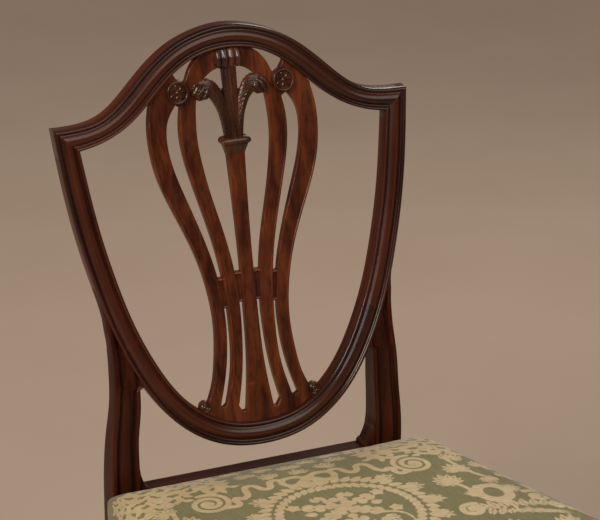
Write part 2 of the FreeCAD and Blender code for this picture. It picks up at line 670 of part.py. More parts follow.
def slab(near, far):
    """The raked and bowed space between two depths behind the front of the back."""
    half = size("shield_half_width") * 1.2
    fall = BOW * 1.2 ** 2
    foot = size("back_top_y") - math.tan(RAKE) * TOP_Z

    def arc(depth, order):
        points = [Vector(-half, foot + depth - fall, 0), Vector(0, foot + depth, 0), Vector(half, foot + depth - fall, 0)]
        return Part.Arc(*points[::order]).toShape()

    left, right = Vector(-half, foot - fall, 0), Vector(half, foot - fall, 0)
    ring = Part.Wire([
        arc(near, 1),
        Part.makeLine(right + Vector(0, near, 0), right + Vector(0, far, 0)),
        arc(far, -1),
        Part.makeLine(left + Vector(0, far, 0), left + Vector(0, near, 0)),
    ])
    rise = TOP_Z * 1.2
    return Part.Face(ring).extrude(Vector(0, rise * math.tan(RAKE), rise))


def grown(points, gap):
    """A polygon made larger by a gap on every side."""
    ring = Part.makePolygon(points + points[:1])
    return Part.Face(ring.makeOffset2D(gap, 2, False, False, True)) if gap else Part.Face(ring)


def joined(shapes):
    return shapes[0].multiFuse(shapes[1:]) if len(shapes) > 1 else shapes[0]


def mirrored(shape):
    return shape.mirror(Vector(0, 0, 0), Vector(1, 0, 0))


frame_slab = slab(0, size("frame_depth"))
tongue_front = size("splat_recess") + (size("splat_thickness") - size("tongue_thickness")) / 2
tongue_back = tongue_front + size("tongue_thickness")
gap = size("joint_gap")
tongue_slab = slab(tongue_front, tongue_back)
mortise_slab = slab(tongue_front - gap, tongue_back + gap)

crest_top = drawn(CREST_TOP)
crest_low = drawn(CREST_LOW)
opening = drawn(OPENING)
ear = crest_top[-1]
inner_corner = opening[0]
band_out = beside(opening, FRAME_WIDTH)
band_out[0] = ear
band_out[-1] = opening[-1] - Vector(0, 0, FRAME_WIDTH)
opening_curve = curve(opening + turned_over(opening[:-1]))
band_curve = curve(band_out + turned_over(band_out[:-1]))
stile_out = drawn(STILE_OUT)
stile_out[-1].x = size("post_outer_half")
post_in = drawn(POST_IN)
post_in[-1].x = size("post_inner_half")


def where(spline, low, high, test):
    """The point of a curve where a rising test first holds, between two parameters."""
    for _ in range(50):
        middle = (low + high) / 2
        if test(spline.value(middle)):
            high = middle
        else:
            low = middle
    return spline.value((low + high) / 2)


joint_z = on_back(0, size("shield_joint_share") * DRAWN_HEIGHT).z
bottom = opening_curve.parameter(opening[-1])
joint_in = where(opening_curve, opening_curve.FirstParameter, bottom, lambda p: p.z < joint_z)
joint_tangent = opening_curve.tangent(opening_curve.parameter(joint_in))[0]
joint_guess = joint_in + Vector(-joint_tangent.z, 0, joint_tangent.x) * FRAME_WIDTH
joint_out = band_curve.value(band_curve.parameter(joint_guess))
crotch = where(band_curve, band_curve.FirstParameter, band_curve.parameter(band_out[-1]), lambda p: p.x < post_in[0].x)
post_in[0] = crotch

# Short tongues hold the mitres at the ears and the joints low on the shield
ear_tongue = drawn(EAR_TONGUE)
joint_middle = (joint_in + joint_out) * 0.5
across = (joint_out - joint_in).normalize()
upward = Vector(-joint_tangent.x, 0, -joint_tangent.z).normalize()
stile_tongue = [
    joint_middle - across * 5 - upward * 3,
    joint_middle + across * 5 - upward * 3,
    joint_middle + across * 5 + upward * 13,
    joint_middle - across * 5 + upward * 13,
]

crest_flat = face(both_sides(crest_top), [ear, inner_corner], both_sides(crest_low),
                  [turned_over([inner_corner])[0], turned_over([ear])[0]])
crest = through(crest_flat).common(frame_slab)
ear_mortise = through(grown(ear_tongue, gap)).common(mortise_slab)
crest = crest.cut(ear_mortise).cut(mirrored(ear_mortise))
crest_mortises = []
lower_mortises = []
for tongues, mortises in ((CREST_TONGUES, crest_mortises), (LOWER_TONGUES, lower_mortises)):
    for corners in tongues:
        hole = through(grown(drawn(corners), gap)).common(mortise_slab)
        mortises.append(hole)
        if min(x for x, drop in corners) > 0:
            mortises.append(mirrored(hole))
crest = crest.cut(joined(crest_mortises))
shaped("crest_rail", crest)

lower_flat = face(
    part_of(opening_curve, joint_in, turned_over([joint_in])[0]),
    [joint_in, joint_out],
    part_of(band_curve, joint_out, turned_over([joint_out])[0]),
    [turned_over([joint_in])[0], turned_over([joint_out])[0]],
)
lower = through(lower_flat).common(frame_slab)
stile_tenon = through(grown(stile_tongue, 0)).common(tongue_slab)
lower = lower.fuse(stile_tenon).fuse(mirrored(stile_tenon)).cut(joined(lower_mortises))
shaped("shield_lower_rail", lower)

# Rear leg, post and stile are one piece of wood
rail_z = size("rail_top")
seat_z = size("rail_bottom")
outer = size("post_outer_half")
inner = size("post_inner_half")
flare = size("flare_width")
foot_in = outer - size("rear_foot")
flare_run = [
    post_in[-1],
    Vector(inner - flare * 0.3, 0, rail_z + 14),
    Vector(inner - flare, 0, rail_z + 2),
]
shoulder = stile_out[-1]
stile_flat = face(
    stile_out,
    [shoulder, Vector(outer, 0, 0)],
    [Vector(outer, 0, 0), Vector(foot_in, 0, 0)],
    [Vector(foot_in, 0, 0), Vector(inner, 0, seat_z)],
    [Vector(inner, 0, seat_z), Vector(inner, 0, rail_z)],
    [Vector(inner, 0, rail_z), Vector(inner - flare, 0, rail_z)],
    [Vector(inner - flare, 0, rail_z), flare_run[-1]],
    flare_run,
    post_in,
    part_of(band_curve, joint_out, crotch),
    [joint_out, joint_in],
    part_of(opening_curve, inner_corner, joint_in),
    [inner_corner, ear],
)


def plan_section(z, front, depth):
    """A section of the rear leg's depth, wider than the leg and slanted like the bow of the back."""
    near, far = 120.0, 240.0
    slant = BOW * ((inner / 223.5) ** 2 - (outer / 223.5) ** 2) / (outer - inner)
    middle = (inner + outer) / 2

    def corner(x, y):
        return Vector(x, y + (x - middle) * slant * min(1.0, max(0.0, (z - rail_z) / 60.0)), z)

    ring = [corner(near, front), corner(far, front), corner(far, front + depth), corner(near, front + depth)]
    return Part.makePolygon(ring + ring[:1])


def back_front(z):
    """Front of the back at the posts, at a height."""
    return size("back_top_y") - math.tan(RAKE) * (TOP_Z - z) - BOW * ((inner + outer) / 2 / 223.5) ** 2


post_front = size("post_front_y")
post_depth = size("post_depth")
waist_depth = size("waist_depth")
foot_depth = size("rear_foot")
foot_front = post_front + size("rear_rake") + (post_depth - foot_depth) / 2
below = Part.makeLoft([plan_section(0, foot_front, foot_depth), plan_section(seat_z, post_front, post_depth)], True, True)
beside_rail = Part.makeLoft([plan_section(seat_z, post_front, post_depth), plan_section(rail_z, post_front, post_depth)], True, True)


def up_the_post(share):
    """A height above the rear rail, as a share of the back's height over the rail."""
    return rail_z + (TOP_Z - rail_z) * share


# The post's front leaves the line of the seat and joins the slope of the back, while its depth falls to the shield's
knee_z, waist_z, merge_z = up_the_post(0.216), up_the_post(0.287), up_the_post(0.436)
knee_front = back_front(knee_z) + (post_front - back_front(rail_z)) * 0.09
above_stations = [
    (rail_z, post_front, post_depth),
    (up_the_post(0.0727), post_front + (knee_front - post_front) * 0.04, post_depth - (post_depth - waist_depth) * 0.17),
    (up_the_post(0.1434), post_front + (knee_front - post_front) * 0.33, post_depth - (post_depth - waist_depth) * 0.67),
    (knee_z, knee_front, waist_depth),
    (waist_z, back_front(waist_z), waist_depth),
    (up_the_post(0.363), back_front(up_the_post(0.363)), (waist_depth + size("frame_depth")) / 2),
    (merge_z, back_front(merge_z), size("frame_depth")),
]
above = Part.makeLoft([plan_section(*station) for station in above_stations], True, False)
upper_half = Part.makeBox(1000, 1000, 1000, Vector(-500, -500, merge_z))
depth_right = joined([below, beside_rail, above, frame_slab.common(upper_half)])
leg = through(stile_flat).common(depth_right)
ear_tenon = through(grown(ear_tongue, 0)).common(tongue_slab)
stile_mortise = through(grown(stile_tongue, gap)).common(mortise_slab)
leg = leg.fuse(ear_tenon).cut(stile_mortise)


def upright_prism(corners, low, high):
    """A prism over plan corners given as formulas."""
    ring = [Vector(value(x), value(y), value(low)) for x, y in corners]
    return Part.Face(Part.makePolygon(ring + ring[:1])).extrude(Vector(0, 0, value(high) - value(low)))


rear_rail_mortise = upright_prism([
    ("post_inner_half - 1", "%s - tenon_thickness - joint_gap" % REAR_TENON_BACK),
    ("post_inner_half + tenon_length + joint_gap", "%s - tenon_thickness - joint_gap" % REAR_TENON_BACK),
    ("post_inner_half + tenon_length + joint_gap", "%s + joint_gap" % REAR_TENON_BACK),
    ("post_inner_half - 1", "%s + joint_gap" % REAR_TENON_BACK),
], "%s - joint_gap" % TENON_FOOT, "%s + joint_gap" % REAR_TENON_TOP)
side_rail_mortise = upright_prism(
    strip(rail_middle, HALF_SIDE_MORTISE, "(post_front_y - 1)", "(post_front_y + tenon_length + joint_gap)"),
    "%s - joint_gap" % TENON_FOOT, "%s + joint_gap" % SIDE_TENON_TOP)
side_stretcher_mortise = upright_prism(
    strip(stretcher_middle, HALF_STRETCHER_MORTISE, "(%s - 4)" % STRETCH_REAR,
          "(%s + stretcher_tenon_length + joint_gap)" % STRETCH_REAR),
    "%s - joint_gap" % STRETCH_TENON_FOOT, "%s + joint_gap" % STRETCH_TENON_TOP)
rear_stretcher_mortise = upright_prism([
    ("%s - 4" % rear_leg_side(REAR_STRETCH_MIDDLE), "%s - stretcher_width / 2 - joint_gap" % REAR_STRETCH_Y),
    ("%s + joint_gap" % REAR_STRETCH_TIP, "%s - stretcher_width / 2 - joint_gap" % REAR_STRETCH_Y),
    ("%s + joint_gap" % REAR_STRETCH_TIP, "%s + stretcher_width / 2 + joint_gap" % REAR_STRETCH_Y),
    ("%s - 4" % rear_leg_side(REAR_STRETCH_MIDDLE), "%s + stretcher_width / 2 + joint_gap" % REAR_STRETCH_Y),
], "%s - joint_gap" % REAR_STRETCH_FOOT, "%s + joint_gap" % REAR_STRETCH_UPPER)
leg = leg.cut(joined([rear_rail_mortise, side_rail_mortise, side_stretcher_mortise, rear_stretcher_mortise]))
shaped("rear_leg_right", leg)
shaped("rear_leg_left", mirrored(leg))

# Splat: ribs, bar, arch, bridges, plumes and collar are one pierced and carved board
opening_flat = face(both_sides(crest_low), opening_curve.toShape())
opening_space = through(opening_flat)


def rib(outside_points, inside_points):
    out, back = drawn(outside_points), drawn(inside_points)
    return face(out, back, [out[0], back[0]], [out[-1], back[-1]])


right_ribs = [
    rib(RIB_OUTER_OUT, RIB_OUTER_IN),
    rib(RIB_INNER_OUT, RIB_INNER_IN),
    polygon(drawn(SPANDREL)),
]
arch_out = drawn(ARCH_OUT)
arch_in = drawn(ARCH_IN)
crown_left, crown_right = on_back(-31, 20), on_back(31, 20)
arch = face(
    arch_out,
    turned_over(arch_out),
    [arch_out[0], crown_right],
    [crown_right, crown_left],
    [crown_left, turned_over(arch_out)[-1]],
    both_sides(arch_in),
    [arch_out[-1], arch_in[-1]],
    [turned_over(arch_out)[0], turned_over(arch_in)[0]],
)
bar_side = drawn(BAR)
bar = face(bar_side, turned_over(bar_side), [bar_side[0], turned_over(bar_side)[-1]], [bar_side[-1], turned_over(bar_side)[0]])
base_top = drawn(BASE)
low_left, low_right = on_back(-84, 475), on_back(84, 475)
base = polygon(base_top + turned_over(base_top)[1:] + [low_left, low_right])
flats = [arch, bar, base]
solids = [through(flat) for flat in flats]
for flat in right_ribs:
    solids += [through(flat), mirrored(through(flat))]
recess = size("splat_recess")
board_back = recess + size("splat_thickness")
board = joined(solids).common(opening_space).common(slab(recess, board_back))
bridge_corners = drawn(BRIDGE)
bridge = through(polygon(bridge_corners + turned_over(bridge_corners)))
bridge = bridge.common(slab(recess + size("bridge_recess"), board_back - 1.0))
relief_slab = slab(recess - size("carving_relief"), board_back)
collar_points = drawn(COLLAR)
collar = through(polygon(collar_points + turned_over(collar_points)))
plume_middle = drawn(PLUME_MIDDLE)
plume = through(face(turned_over(plume_middle[1:]) + plume_middle,
                     [plume_middle[-1], turned_over(plume_middle)[0]]))
plume_side = through(face(drawn(PLUME_SIDE), [drawn(PLUME_SIDE)[-1], drawn(PLUME_SIDE)[0]]))
carving = joined([collar, plume, plume_side, mirrored(plume_side)]).common(opening_space).common(relief_slab)
tongues = []
for corners in CREST_TONGUES + LOWER_TONGUES:
    tongue = through(grown(drawn(corners), 0)).common(tongue_slab)
    tongues.append(tongue)
    if min(x for x, drop in corners) > 0:
        tongues.append(mirrored(tongue))
shaped("splat", joined([board, bridge, carving] + tongues))

# Rosettes lie on the splat's front
for name, side in SIDES:
    centre = on_back(ROSETTE[0] * side, ROSETTE[1])
    disc = Part.makeCylinder(size("rosette_radius"), 2 * FAR, centre - Vector(0, FAR, 0), Vector(0, 1, 0))
    shaped("rosette_" + name, disc.common(slab(recess - size("rosette_thickness"), recess)))

# Upholstery

# Webbing: strips from front to back on the rails, and strips from side to side over them
deck = size("deck_height")
web = size("web_thickness")
web_half = size("web_width") / 2
front_y = size("front_y")
strips = []
for x in (-112, -56, 0, 56, 112):
    near_y = front_y + 6
    far_y = value(REAR_FRONT) + size("rebate_width") - 1
    strips.append(Part.makeBox(2 * web_half, far_y - near_y, web, Vector(x - web_half, near_y, deck)))
shaped("webbing_front_to_back", Part.makeCompound(strips))
strips = []
for y in (-180, -110, -40, 30, 100):
    end = value(outside(str(y + web_half))) - 6
    flat = value(inside(str(y + web_half))) - 22
    profile = [(-end, 0), (-flat - 16, 0), (-flat, web), (flat, web), (flat + 16, 0), (end, 0)]
    lower_edge = [Vector(x, y - web_half, deck + z) for x, z in profile]
    upper_edge = [point + Vector(0, 0, web) for point in reversed(lower_edge)]
    strips.append(polygon(lower_edge + upper_edge).extrude(Vector(0, 2 * web_half, 0)))
shaped("webbing_side_to_side", Part.makeCompound(strips))


def rounded(points, radii):
    """A closed outline of lines and arcs round a plan polygon, listed anticlockwise."""
    count = len(points)
    starts, ends, arcs = [], [], []
    for i, (point, radius) in enumerate(zip(points, radii)):
        back = (points[i - 1] - point).normalize()
        ahead = (points[(i + 1) % count] - point).normalize()
        half_angle = back.getAngle(ahead) / 2
        reach = radius / math.tan(half_angle)
        middle = point + (back + ahead).normalize() * (radius / math.sin(half_angle) - radius)
        starts.append(point + back * reach)
        ends.append(point + ahead * reach)
        arcs.append(Part.Arc(starts[-1], middle, ends[-1]).toShape())
    ring = []
    for i in range(count):
        ring.append(arcs[i])
        ring.append(Part.makeLine(ends[i], starts[(i + 1) % count]))
    return Part.Wire(ring)


splay = value(SPLAY)
stretch = math.sqrt(1 + splay ** 2)


def seat_outline(z, inset, rear_y, front_radius, rear_radius):
    """Plan outline of the seat: inset from the rails' outer faces, and its own rear line."""
    near_y = front_y + inset

    def side_x(y):
        return outer + (post_front - y) * splay - inset * stretch

    corners = [Vector(-side_x(near_y), near_y, z), Vector(side_x(near_y), near_y, z),
               Vector(side_x(rear_y), rear_y, z), Vector(-side_x(rear_y), rear_y, z)]
    return rounded(corners, [front_radius, front_radius, rear_radius, rear_radius])


crown = size("seat_crown")
bulge = size("seat_bulge")
cloth = size("cover_thickness")
air = size("cloth_gap")
seat_rear = value(REAR_FRONT) + size("rebate_width") - air


def seat_solid(within):
    """The seat's outside made smaller all round: lofted rings from the rails' underside to the crown."""
    base_z = seat_z - air - cloth + within
    stations = [
        (base_z, -air - cloth, seat_rear, 6, 3),
        (seat_z + 16, -bulge * 0.65, seat_rear, 12, 3),
        (seat_z + 42, -bulge, seat_rear, 18, 4),
        (rail_z, -bulge * 0.95, seat_rear, 22, 6),
        (rail_z + 9, -bulge * 0.75, seat_rear - 17, 25, 14),
        (rail_z + 20, -bulge * 0.3, seat_rear - 38, 28, 26),
        (rail_z + 26, bulge * 0.4, seat_rear - 50, 30, 34),
        (rail_z + 31, bulge * 1.6, seat_rear - 64, 32, 40),
        (crown - 7.5, bulge * 4.2, seat_rear - 82, 36, 44),
        (crown - 3.5, bulge * 9, seat_rear - 104, 40, 46),
        (crown - 1.0, bulge * 16, seat_rear - 130, 40, 46),
        (crown, bulge * 21, seat_rear - 152, 30, 34),
    ]
    rings = []
    for z, inset, rear_y, front_radius, rear_radius in stations:
        lowered = z - within if z > rail_z else z
        rings.append(seat_outline(lowered, inset + within, rear_y - within, front_radius, rear_radius))
    return Part.makeLoft(rings, True, True)


keep_posts = []
for side in (-1, 1):
    low_x = inner - flare - air if side > 0 else -(outer + 60)
    keep_posts.append(Part.makeBox(flare + 60 + outer - inner + air, 200, 400,
                                   Vector(low_x, post_front - air, seat_z - 60)))
rear_bar = Part.makeBox(2 * outer, 200, deck - seat_z + 60 + air, Vector(-outer, value(REAR_FRONT) - air, seat_z - 60))
hard_back = joined(keep_posts + [rear_bar])


def frame_prism(grow, low, high):
    """Space of the seat frame in plan, made larger or smaller."""
    near_y = front_y - grow
    ring = []
    for x_side, y in ((-1, near_y), (1, near_y), (1, post_front + 40), (-1, post_front + 40)):
        ring.append(Vector(x_side * (outer + (post_front - y) * splay + grow * stretch), y, low))
    return polygon(ring).extrude(Vector(0, 0, high - low))


hessian_z = deck + 2 * web
hessian_top = hessian_z + size("hessian_thickness")
hessian_ring = []
for x_side, y in ((-1, front_y + 4), (1, front_y + 4), (1, post_front - 1), (-1, post_front - 1)):
    hessian_ring.append(Vector(x_side * (outer + (post_front - y) * splay - 6), y, hessian_z))
shaped("hessian", polygon(hessian_ring).extrude(Vector(0, 0, size("hessian_thickness"))))

legs_below = []
for side in (-1, 1):
    plan_corners = [(leg_side("front_y"), "front_y"), (outside("front_y"), "front_y"),
                    (outside(LEG_BACK), LEG_BACK), (leg_side(LEG_BACK), LEG_BACK)]
    ring = [Vector(side * value(x), value(y), seat_z - 20) for x, y in plan_corners]
    shape = polygon(ring).extrude(Vector(0, 0, 40))
    legs_below.append(shape.makeOffsetShape(air, 0.01, False, False, 0, 2))

cover_outer = seat_solid(0.0)
cover_inner = seat_solid(cloth)
hem_hole = frame_prism(-size("hem_width"), seat_z - 40, seat_z + 20)
cover = cover_outer.cut(cover_inner).cut(hem_hole).cut(hard_back).cut(joined(legs_below))
rear_lip = Part.makeBox(2 * outer, 40, 60, Vector(-outer, post_front - 12, seat_z - 30))
cover = cover.cut(rear_lip)

stuffing_floor = seat_z + 6
padding = seat_solid(cloth + air).cut(frame_prism(air, 0, hessian_top + air))
padding = padding.cut(Part.makeBox(1000, 1000, stuffing_floor, Vector(-500, -500, 0)))
padding = padding.cut(hard_back)
shaped("seat_stuffing", padding)

# Dust cloth and the tacks that hold it and the cover's hem
hem_under = seat_z - air - cloth
dust = size("dust_cloth")
dust_z = hem_under - air - dust
dust_ring = []
for x_side, y in ((-1, front_y + 7), (1, front_y + 7), (1, post_front - 2), (-1, post_front - 2)):
    dust_ring.append(Vector(x_side * (outer + (post_front - y) * splay - 8), y, dust_z))
rear_x = inner - 2
dust_back = value(BACK_OF_POST) - 8
dust_cover = polygon(dust_ring).extrude(Vector(0, 0, dust))
dust_cover = dust_cover.fuse(Part.makeBox(2 * rear_x, dust_back - post_front + 12, dust, Vector(-rear_x, post_front - 12, dust_z)))
dust_cover = dust_cover.cut(joined(legs_below))

tack_places = [(value(x), value(y)) for x, y in FRONT_TACKS + REAR_TACKS]
for y in SIDE_TACK_YS:
    for side in (-1, 1):
        tack_places.append((side * value(rail_middle(y)), value(y)))
tacks = []
bores = []
for x, y in tack_places:
    head = Part.makeCylinder(size("tack_head_radius"), size("tack_head_height"),
                             Vector(x, y, dust_z - size("tack_head_height")))
    shank = Part.makeCylinder(size("tack_radius"), size("tack_length") + seat_z - dust_z - 1, Vector(x, y, dust_z - 0.1))
    tacks.append(head.fuse(shank))
    bores.append(Part.makeCylinder(size("tack_radius") + size("bore_gap"), 12, Vector(x, y, dust_z - 2)))
bores = Part.makeCompound(bores)
shaped("seat_cover", cover.cut(bores))
shaped("dust_cover", dust_cover.cut(bores))
shaped("seat_tacks", Part.makeCompound(tacks))

# Corner block screws: a shank with a flat head, one into each rail beside a block
screws = []
for block in BLOCKS.values():
    for side in (-1, 1):
        head_y = value(rail_screw_head(block))
        tip_y = value(rail_screw_tip(block)) - block["toward"] * 0.5
        toward = Vector(0, block["toward"], 0)
        start = Vector(side * value(block["across_x"]), head_y, value(HIGH_SCREW))
        screws.append((start, toward, abs(tip_y - head_y)))
        head_x = value(side_screw_head(block))
        tip_x = value(side_screw_tip(block)) - 0.5
        start = Vector(side * head_x, value(block["along_y"]), value(LOW_SCREW))
        screws.append((start, Vector(side, 0, 0), tip_x - head_x))
shapes = []
for start, toward, length in screws:
    head = Part.makeCylinder(size("screw_head_radius"), size("screw_head_height"), start, toward * -1)
    shank = Part.makeCylinder(size("screw_radius"), length, start, toward)
    shapes.append(head.fuse(shank))
shaped("corner_block_screws", Part.makeCompound(shapes))

# Checks and export

doc.recompute()
for item in doc.Objects:
    if "Invalid" in item.State or "Error" in item.State:
        raise RuntimeError("object %s did not compute" % item.Label)
for node in NODES:
    if node.Shape.isNull() or not node.Shape.isValid():
        raise RuntimeError("shape of %s is not valid" % node.Label)
os.makedirs("parts", exist_ok=True)
for node in NODES:
    node.Shape.exportStep("parts/%s.step" % node.Label)
    box = node.Shape.BoundBox
    print("%-24s solids %2d volume %9.0f  x %7.1f %7.1f  y %7.1f %7.1f  z %6.1f %6.1f" % (
        node.Label, len(node.Shape.Solids), node.Shape.Volume,
        box.XMin, box.XMax, box.YMin, box.YMax, box.ZMin, box.ZMax))
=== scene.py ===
# %% [markdown]
# # A shield back chair
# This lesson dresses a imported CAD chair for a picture. The wood frame, its sizes and its joints come from the CAD
# model. Here the shield gets its mouldings, the splat its carving and the seat its damask.

import json
import math

import bmesh
import bpy
import numpy as np
from mathutils import Vector
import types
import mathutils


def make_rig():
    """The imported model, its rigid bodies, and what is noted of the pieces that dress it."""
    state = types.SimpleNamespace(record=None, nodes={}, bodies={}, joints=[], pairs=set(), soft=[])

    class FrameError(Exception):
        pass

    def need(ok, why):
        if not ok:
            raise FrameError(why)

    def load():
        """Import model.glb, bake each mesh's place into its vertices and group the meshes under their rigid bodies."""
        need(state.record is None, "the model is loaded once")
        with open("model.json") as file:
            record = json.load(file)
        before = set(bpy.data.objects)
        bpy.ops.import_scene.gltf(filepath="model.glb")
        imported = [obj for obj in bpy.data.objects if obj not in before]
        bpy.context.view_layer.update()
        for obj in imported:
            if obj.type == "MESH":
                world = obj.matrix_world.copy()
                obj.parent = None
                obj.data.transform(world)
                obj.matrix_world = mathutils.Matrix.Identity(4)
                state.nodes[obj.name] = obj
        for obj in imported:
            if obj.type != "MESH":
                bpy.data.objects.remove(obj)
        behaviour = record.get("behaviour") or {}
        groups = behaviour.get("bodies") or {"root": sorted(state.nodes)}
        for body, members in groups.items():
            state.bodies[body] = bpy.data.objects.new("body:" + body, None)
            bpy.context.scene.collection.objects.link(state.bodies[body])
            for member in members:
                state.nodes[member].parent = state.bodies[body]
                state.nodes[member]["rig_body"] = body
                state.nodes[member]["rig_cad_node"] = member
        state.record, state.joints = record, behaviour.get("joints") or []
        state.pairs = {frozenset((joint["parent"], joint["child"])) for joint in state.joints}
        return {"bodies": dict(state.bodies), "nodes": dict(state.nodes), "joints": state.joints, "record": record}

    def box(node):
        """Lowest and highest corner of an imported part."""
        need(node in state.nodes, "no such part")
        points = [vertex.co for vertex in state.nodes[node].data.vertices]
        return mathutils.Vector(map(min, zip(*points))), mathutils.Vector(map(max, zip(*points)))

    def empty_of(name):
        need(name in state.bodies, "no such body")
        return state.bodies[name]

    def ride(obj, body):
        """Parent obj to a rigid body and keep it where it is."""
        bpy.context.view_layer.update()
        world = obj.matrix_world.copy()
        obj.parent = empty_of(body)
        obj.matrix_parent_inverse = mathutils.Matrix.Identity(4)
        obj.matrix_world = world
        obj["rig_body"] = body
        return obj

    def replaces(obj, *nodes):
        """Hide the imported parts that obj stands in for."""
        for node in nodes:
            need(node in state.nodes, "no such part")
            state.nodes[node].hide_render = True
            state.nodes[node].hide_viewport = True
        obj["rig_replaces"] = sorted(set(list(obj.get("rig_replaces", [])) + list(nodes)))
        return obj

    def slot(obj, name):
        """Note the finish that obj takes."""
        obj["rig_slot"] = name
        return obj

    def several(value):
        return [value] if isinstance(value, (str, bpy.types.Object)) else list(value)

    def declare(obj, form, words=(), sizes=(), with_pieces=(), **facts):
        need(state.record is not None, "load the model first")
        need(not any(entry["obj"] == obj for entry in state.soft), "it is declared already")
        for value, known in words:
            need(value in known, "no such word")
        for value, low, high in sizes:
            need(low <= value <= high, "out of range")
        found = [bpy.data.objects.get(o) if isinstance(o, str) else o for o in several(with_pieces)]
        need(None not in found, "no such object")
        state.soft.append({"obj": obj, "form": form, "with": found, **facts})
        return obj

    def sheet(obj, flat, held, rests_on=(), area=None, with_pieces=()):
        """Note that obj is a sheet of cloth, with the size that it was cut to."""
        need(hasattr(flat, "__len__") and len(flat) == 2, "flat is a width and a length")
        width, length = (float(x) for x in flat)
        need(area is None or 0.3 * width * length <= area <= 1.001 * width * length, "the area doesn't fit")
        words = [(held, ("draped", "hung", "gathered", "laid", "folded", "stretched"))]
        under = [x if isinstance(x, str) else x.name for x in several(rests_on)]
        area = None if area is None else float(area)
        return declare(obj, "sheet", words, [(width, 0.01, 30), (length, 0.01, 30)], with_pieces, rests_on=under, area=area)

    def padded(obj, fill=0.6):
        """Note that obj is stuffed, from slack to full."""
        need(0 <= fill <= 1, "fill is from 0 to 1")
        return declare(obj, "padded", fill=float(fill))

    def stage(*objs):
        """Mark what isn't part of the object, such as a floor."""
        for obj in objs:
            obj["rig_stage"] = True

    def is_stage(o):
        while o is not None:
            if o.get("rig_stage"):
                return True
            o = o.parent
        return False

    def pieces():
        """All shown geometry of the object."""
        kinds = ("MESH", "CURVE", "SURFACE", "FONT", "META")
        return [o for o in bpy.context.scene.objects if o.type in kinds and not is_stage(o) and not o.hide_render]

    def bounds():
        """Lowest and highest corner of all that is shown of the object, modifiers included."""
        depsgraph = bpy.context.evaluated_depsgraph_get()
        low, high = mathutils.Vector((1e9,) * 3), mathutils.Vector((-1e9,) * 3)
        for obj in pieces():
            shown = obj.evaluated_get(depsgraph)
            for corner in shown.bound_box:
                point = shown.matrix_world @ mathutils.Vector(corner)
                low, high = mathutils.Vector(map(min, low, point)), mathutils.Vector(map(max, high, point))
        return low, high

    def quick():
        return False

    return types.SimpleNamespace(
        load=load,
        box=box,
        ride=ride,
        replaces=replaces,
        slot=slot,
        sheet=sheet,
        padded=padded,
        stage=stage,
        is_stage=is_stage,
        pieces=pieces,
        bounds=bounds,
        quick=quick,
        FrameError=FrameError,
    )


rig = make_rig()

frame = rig.load()
CAD_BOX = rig.bounds()
print("CAD box in metres:", CAD_BOX)

# %% [markdown]
# ## Camera, light and floor
# The camera stands where the photograph was taken from: before the chair and to the sitter's right, at a standing
# person's eye height, with a long lens. Its place was solved from the chair's mirror symmetry, so the render can be
# laid over the photograph.

# %% Camera
camera = bpy.data.objects.new("camera", bpy.data.cameras.new("camera"))
camera.data.sensor_width = 36.0
camera.data.lens = 150.0
camera.data.clip_end = 50.0
camera.location = (-1.1390, -2.3206, 1.6499)
camera.rotation_euler = (math.radians(70.684), 0.0, math.radians(-25.73))
bpy.context.scene.collection.objects.link(camera)
bpy.context.scene.camera = camera


# %% Colours
def hex_colour(text):
    """A linear colour from an sRGB hex value."""
    channels = [int(text[i:i + 2], 16) / 255 for i in (1, 3, 5)]
    linear = [c / 12.92 if c <= 0.04045 else ((c + 0.055) / 1.055) ** 2.4 for c in channels]
    return (*linear, 1.0)


# %% One helper for every node
def add_node(tree, kind, settings=None, **links):
    """Adds a node. Settings are its own; links name sockets and give a value or another node's output.

    A colour ramp's setting "stops" holds a place and a colour for each stop, in rising order.
    """
    node = tree.nodes.new(kind)
    settings = dict(settings or {})
    stops = settings.pop("stops", ())
    for _ in stops[2:]:
        node.color_ramp.elements.new(0.5)
    for element, (position, colour) in zip(list(node.color_ramp.elements) if stops else (), stops):
        element.position = position
        element.color = hex_colour(colour) if isinstance(colour, str) else colour
    for name, setting in settings.items():
        setattr(node, name, setting)
    for name, source in links.items():
        key = int(name[1:]) if name[0] == "_" and name[1:].isdigit() else name.replace("_", " ")
        socket = node.inputs[key]
        if isinstance(source, bpy.types.NodeSocket):
            tree.links.new(source, socket)
        else:
            socket.default_value = source
    return node


def new_material(name):
    """A material with nothing in its tree but an output, for the cells below to fill."""
    material = bpy.data.materials.new(name)
    material.use_nodes = True
    material.node_tree.nodes.clear()
    return material, material.node_tree


def streaks(tree, source, scale, **noise):
    """Noise with its own scale along each axis, for pores, flecks and threads."""
    at = add_node(tree, "ShaderNodeMapping", Vector=source, Scale=scale)
    return add_node(tree, "ShaderNodeTexNoise", Vector=at.outputs[0], Scale=1.0, **noise)


def surface(tree, shader):
    """Ends a material's tree with its shader."""
    add_node(tree, "ShaderNodeOutputMaterial", Surface=shader.outputs[0])


def into_scene(obj):
    bpy.context.scene.collection.objects.link(obj)
    return obj


# %% Floor, world and lamps
def paper_floor():
    """A pale studio floor with the faintest mottle."""
    material, tree = new_material("painted studio floor")
    place = add_node(tree, "ShaderNodeTexCoord")
    mottle = add_node(tree, "ShaderNodeTexNoise", Vector=place.outputs["Object"], Scale=3.0, Detail=4.0)
    tint = add_node(tree, "ShaderNodeValToRGB", {"stops": ((0, "#CDB9A7"), (1, "#D8C5B4"))}, Fac=mottle.outputs["Fac"])
    shader = add_node(tree, "ShaderNodeBsdfPrincipled", Base_Color=tint.outputs["Color"], Roughness=0.75)
    surface(tree, shader)
    return material


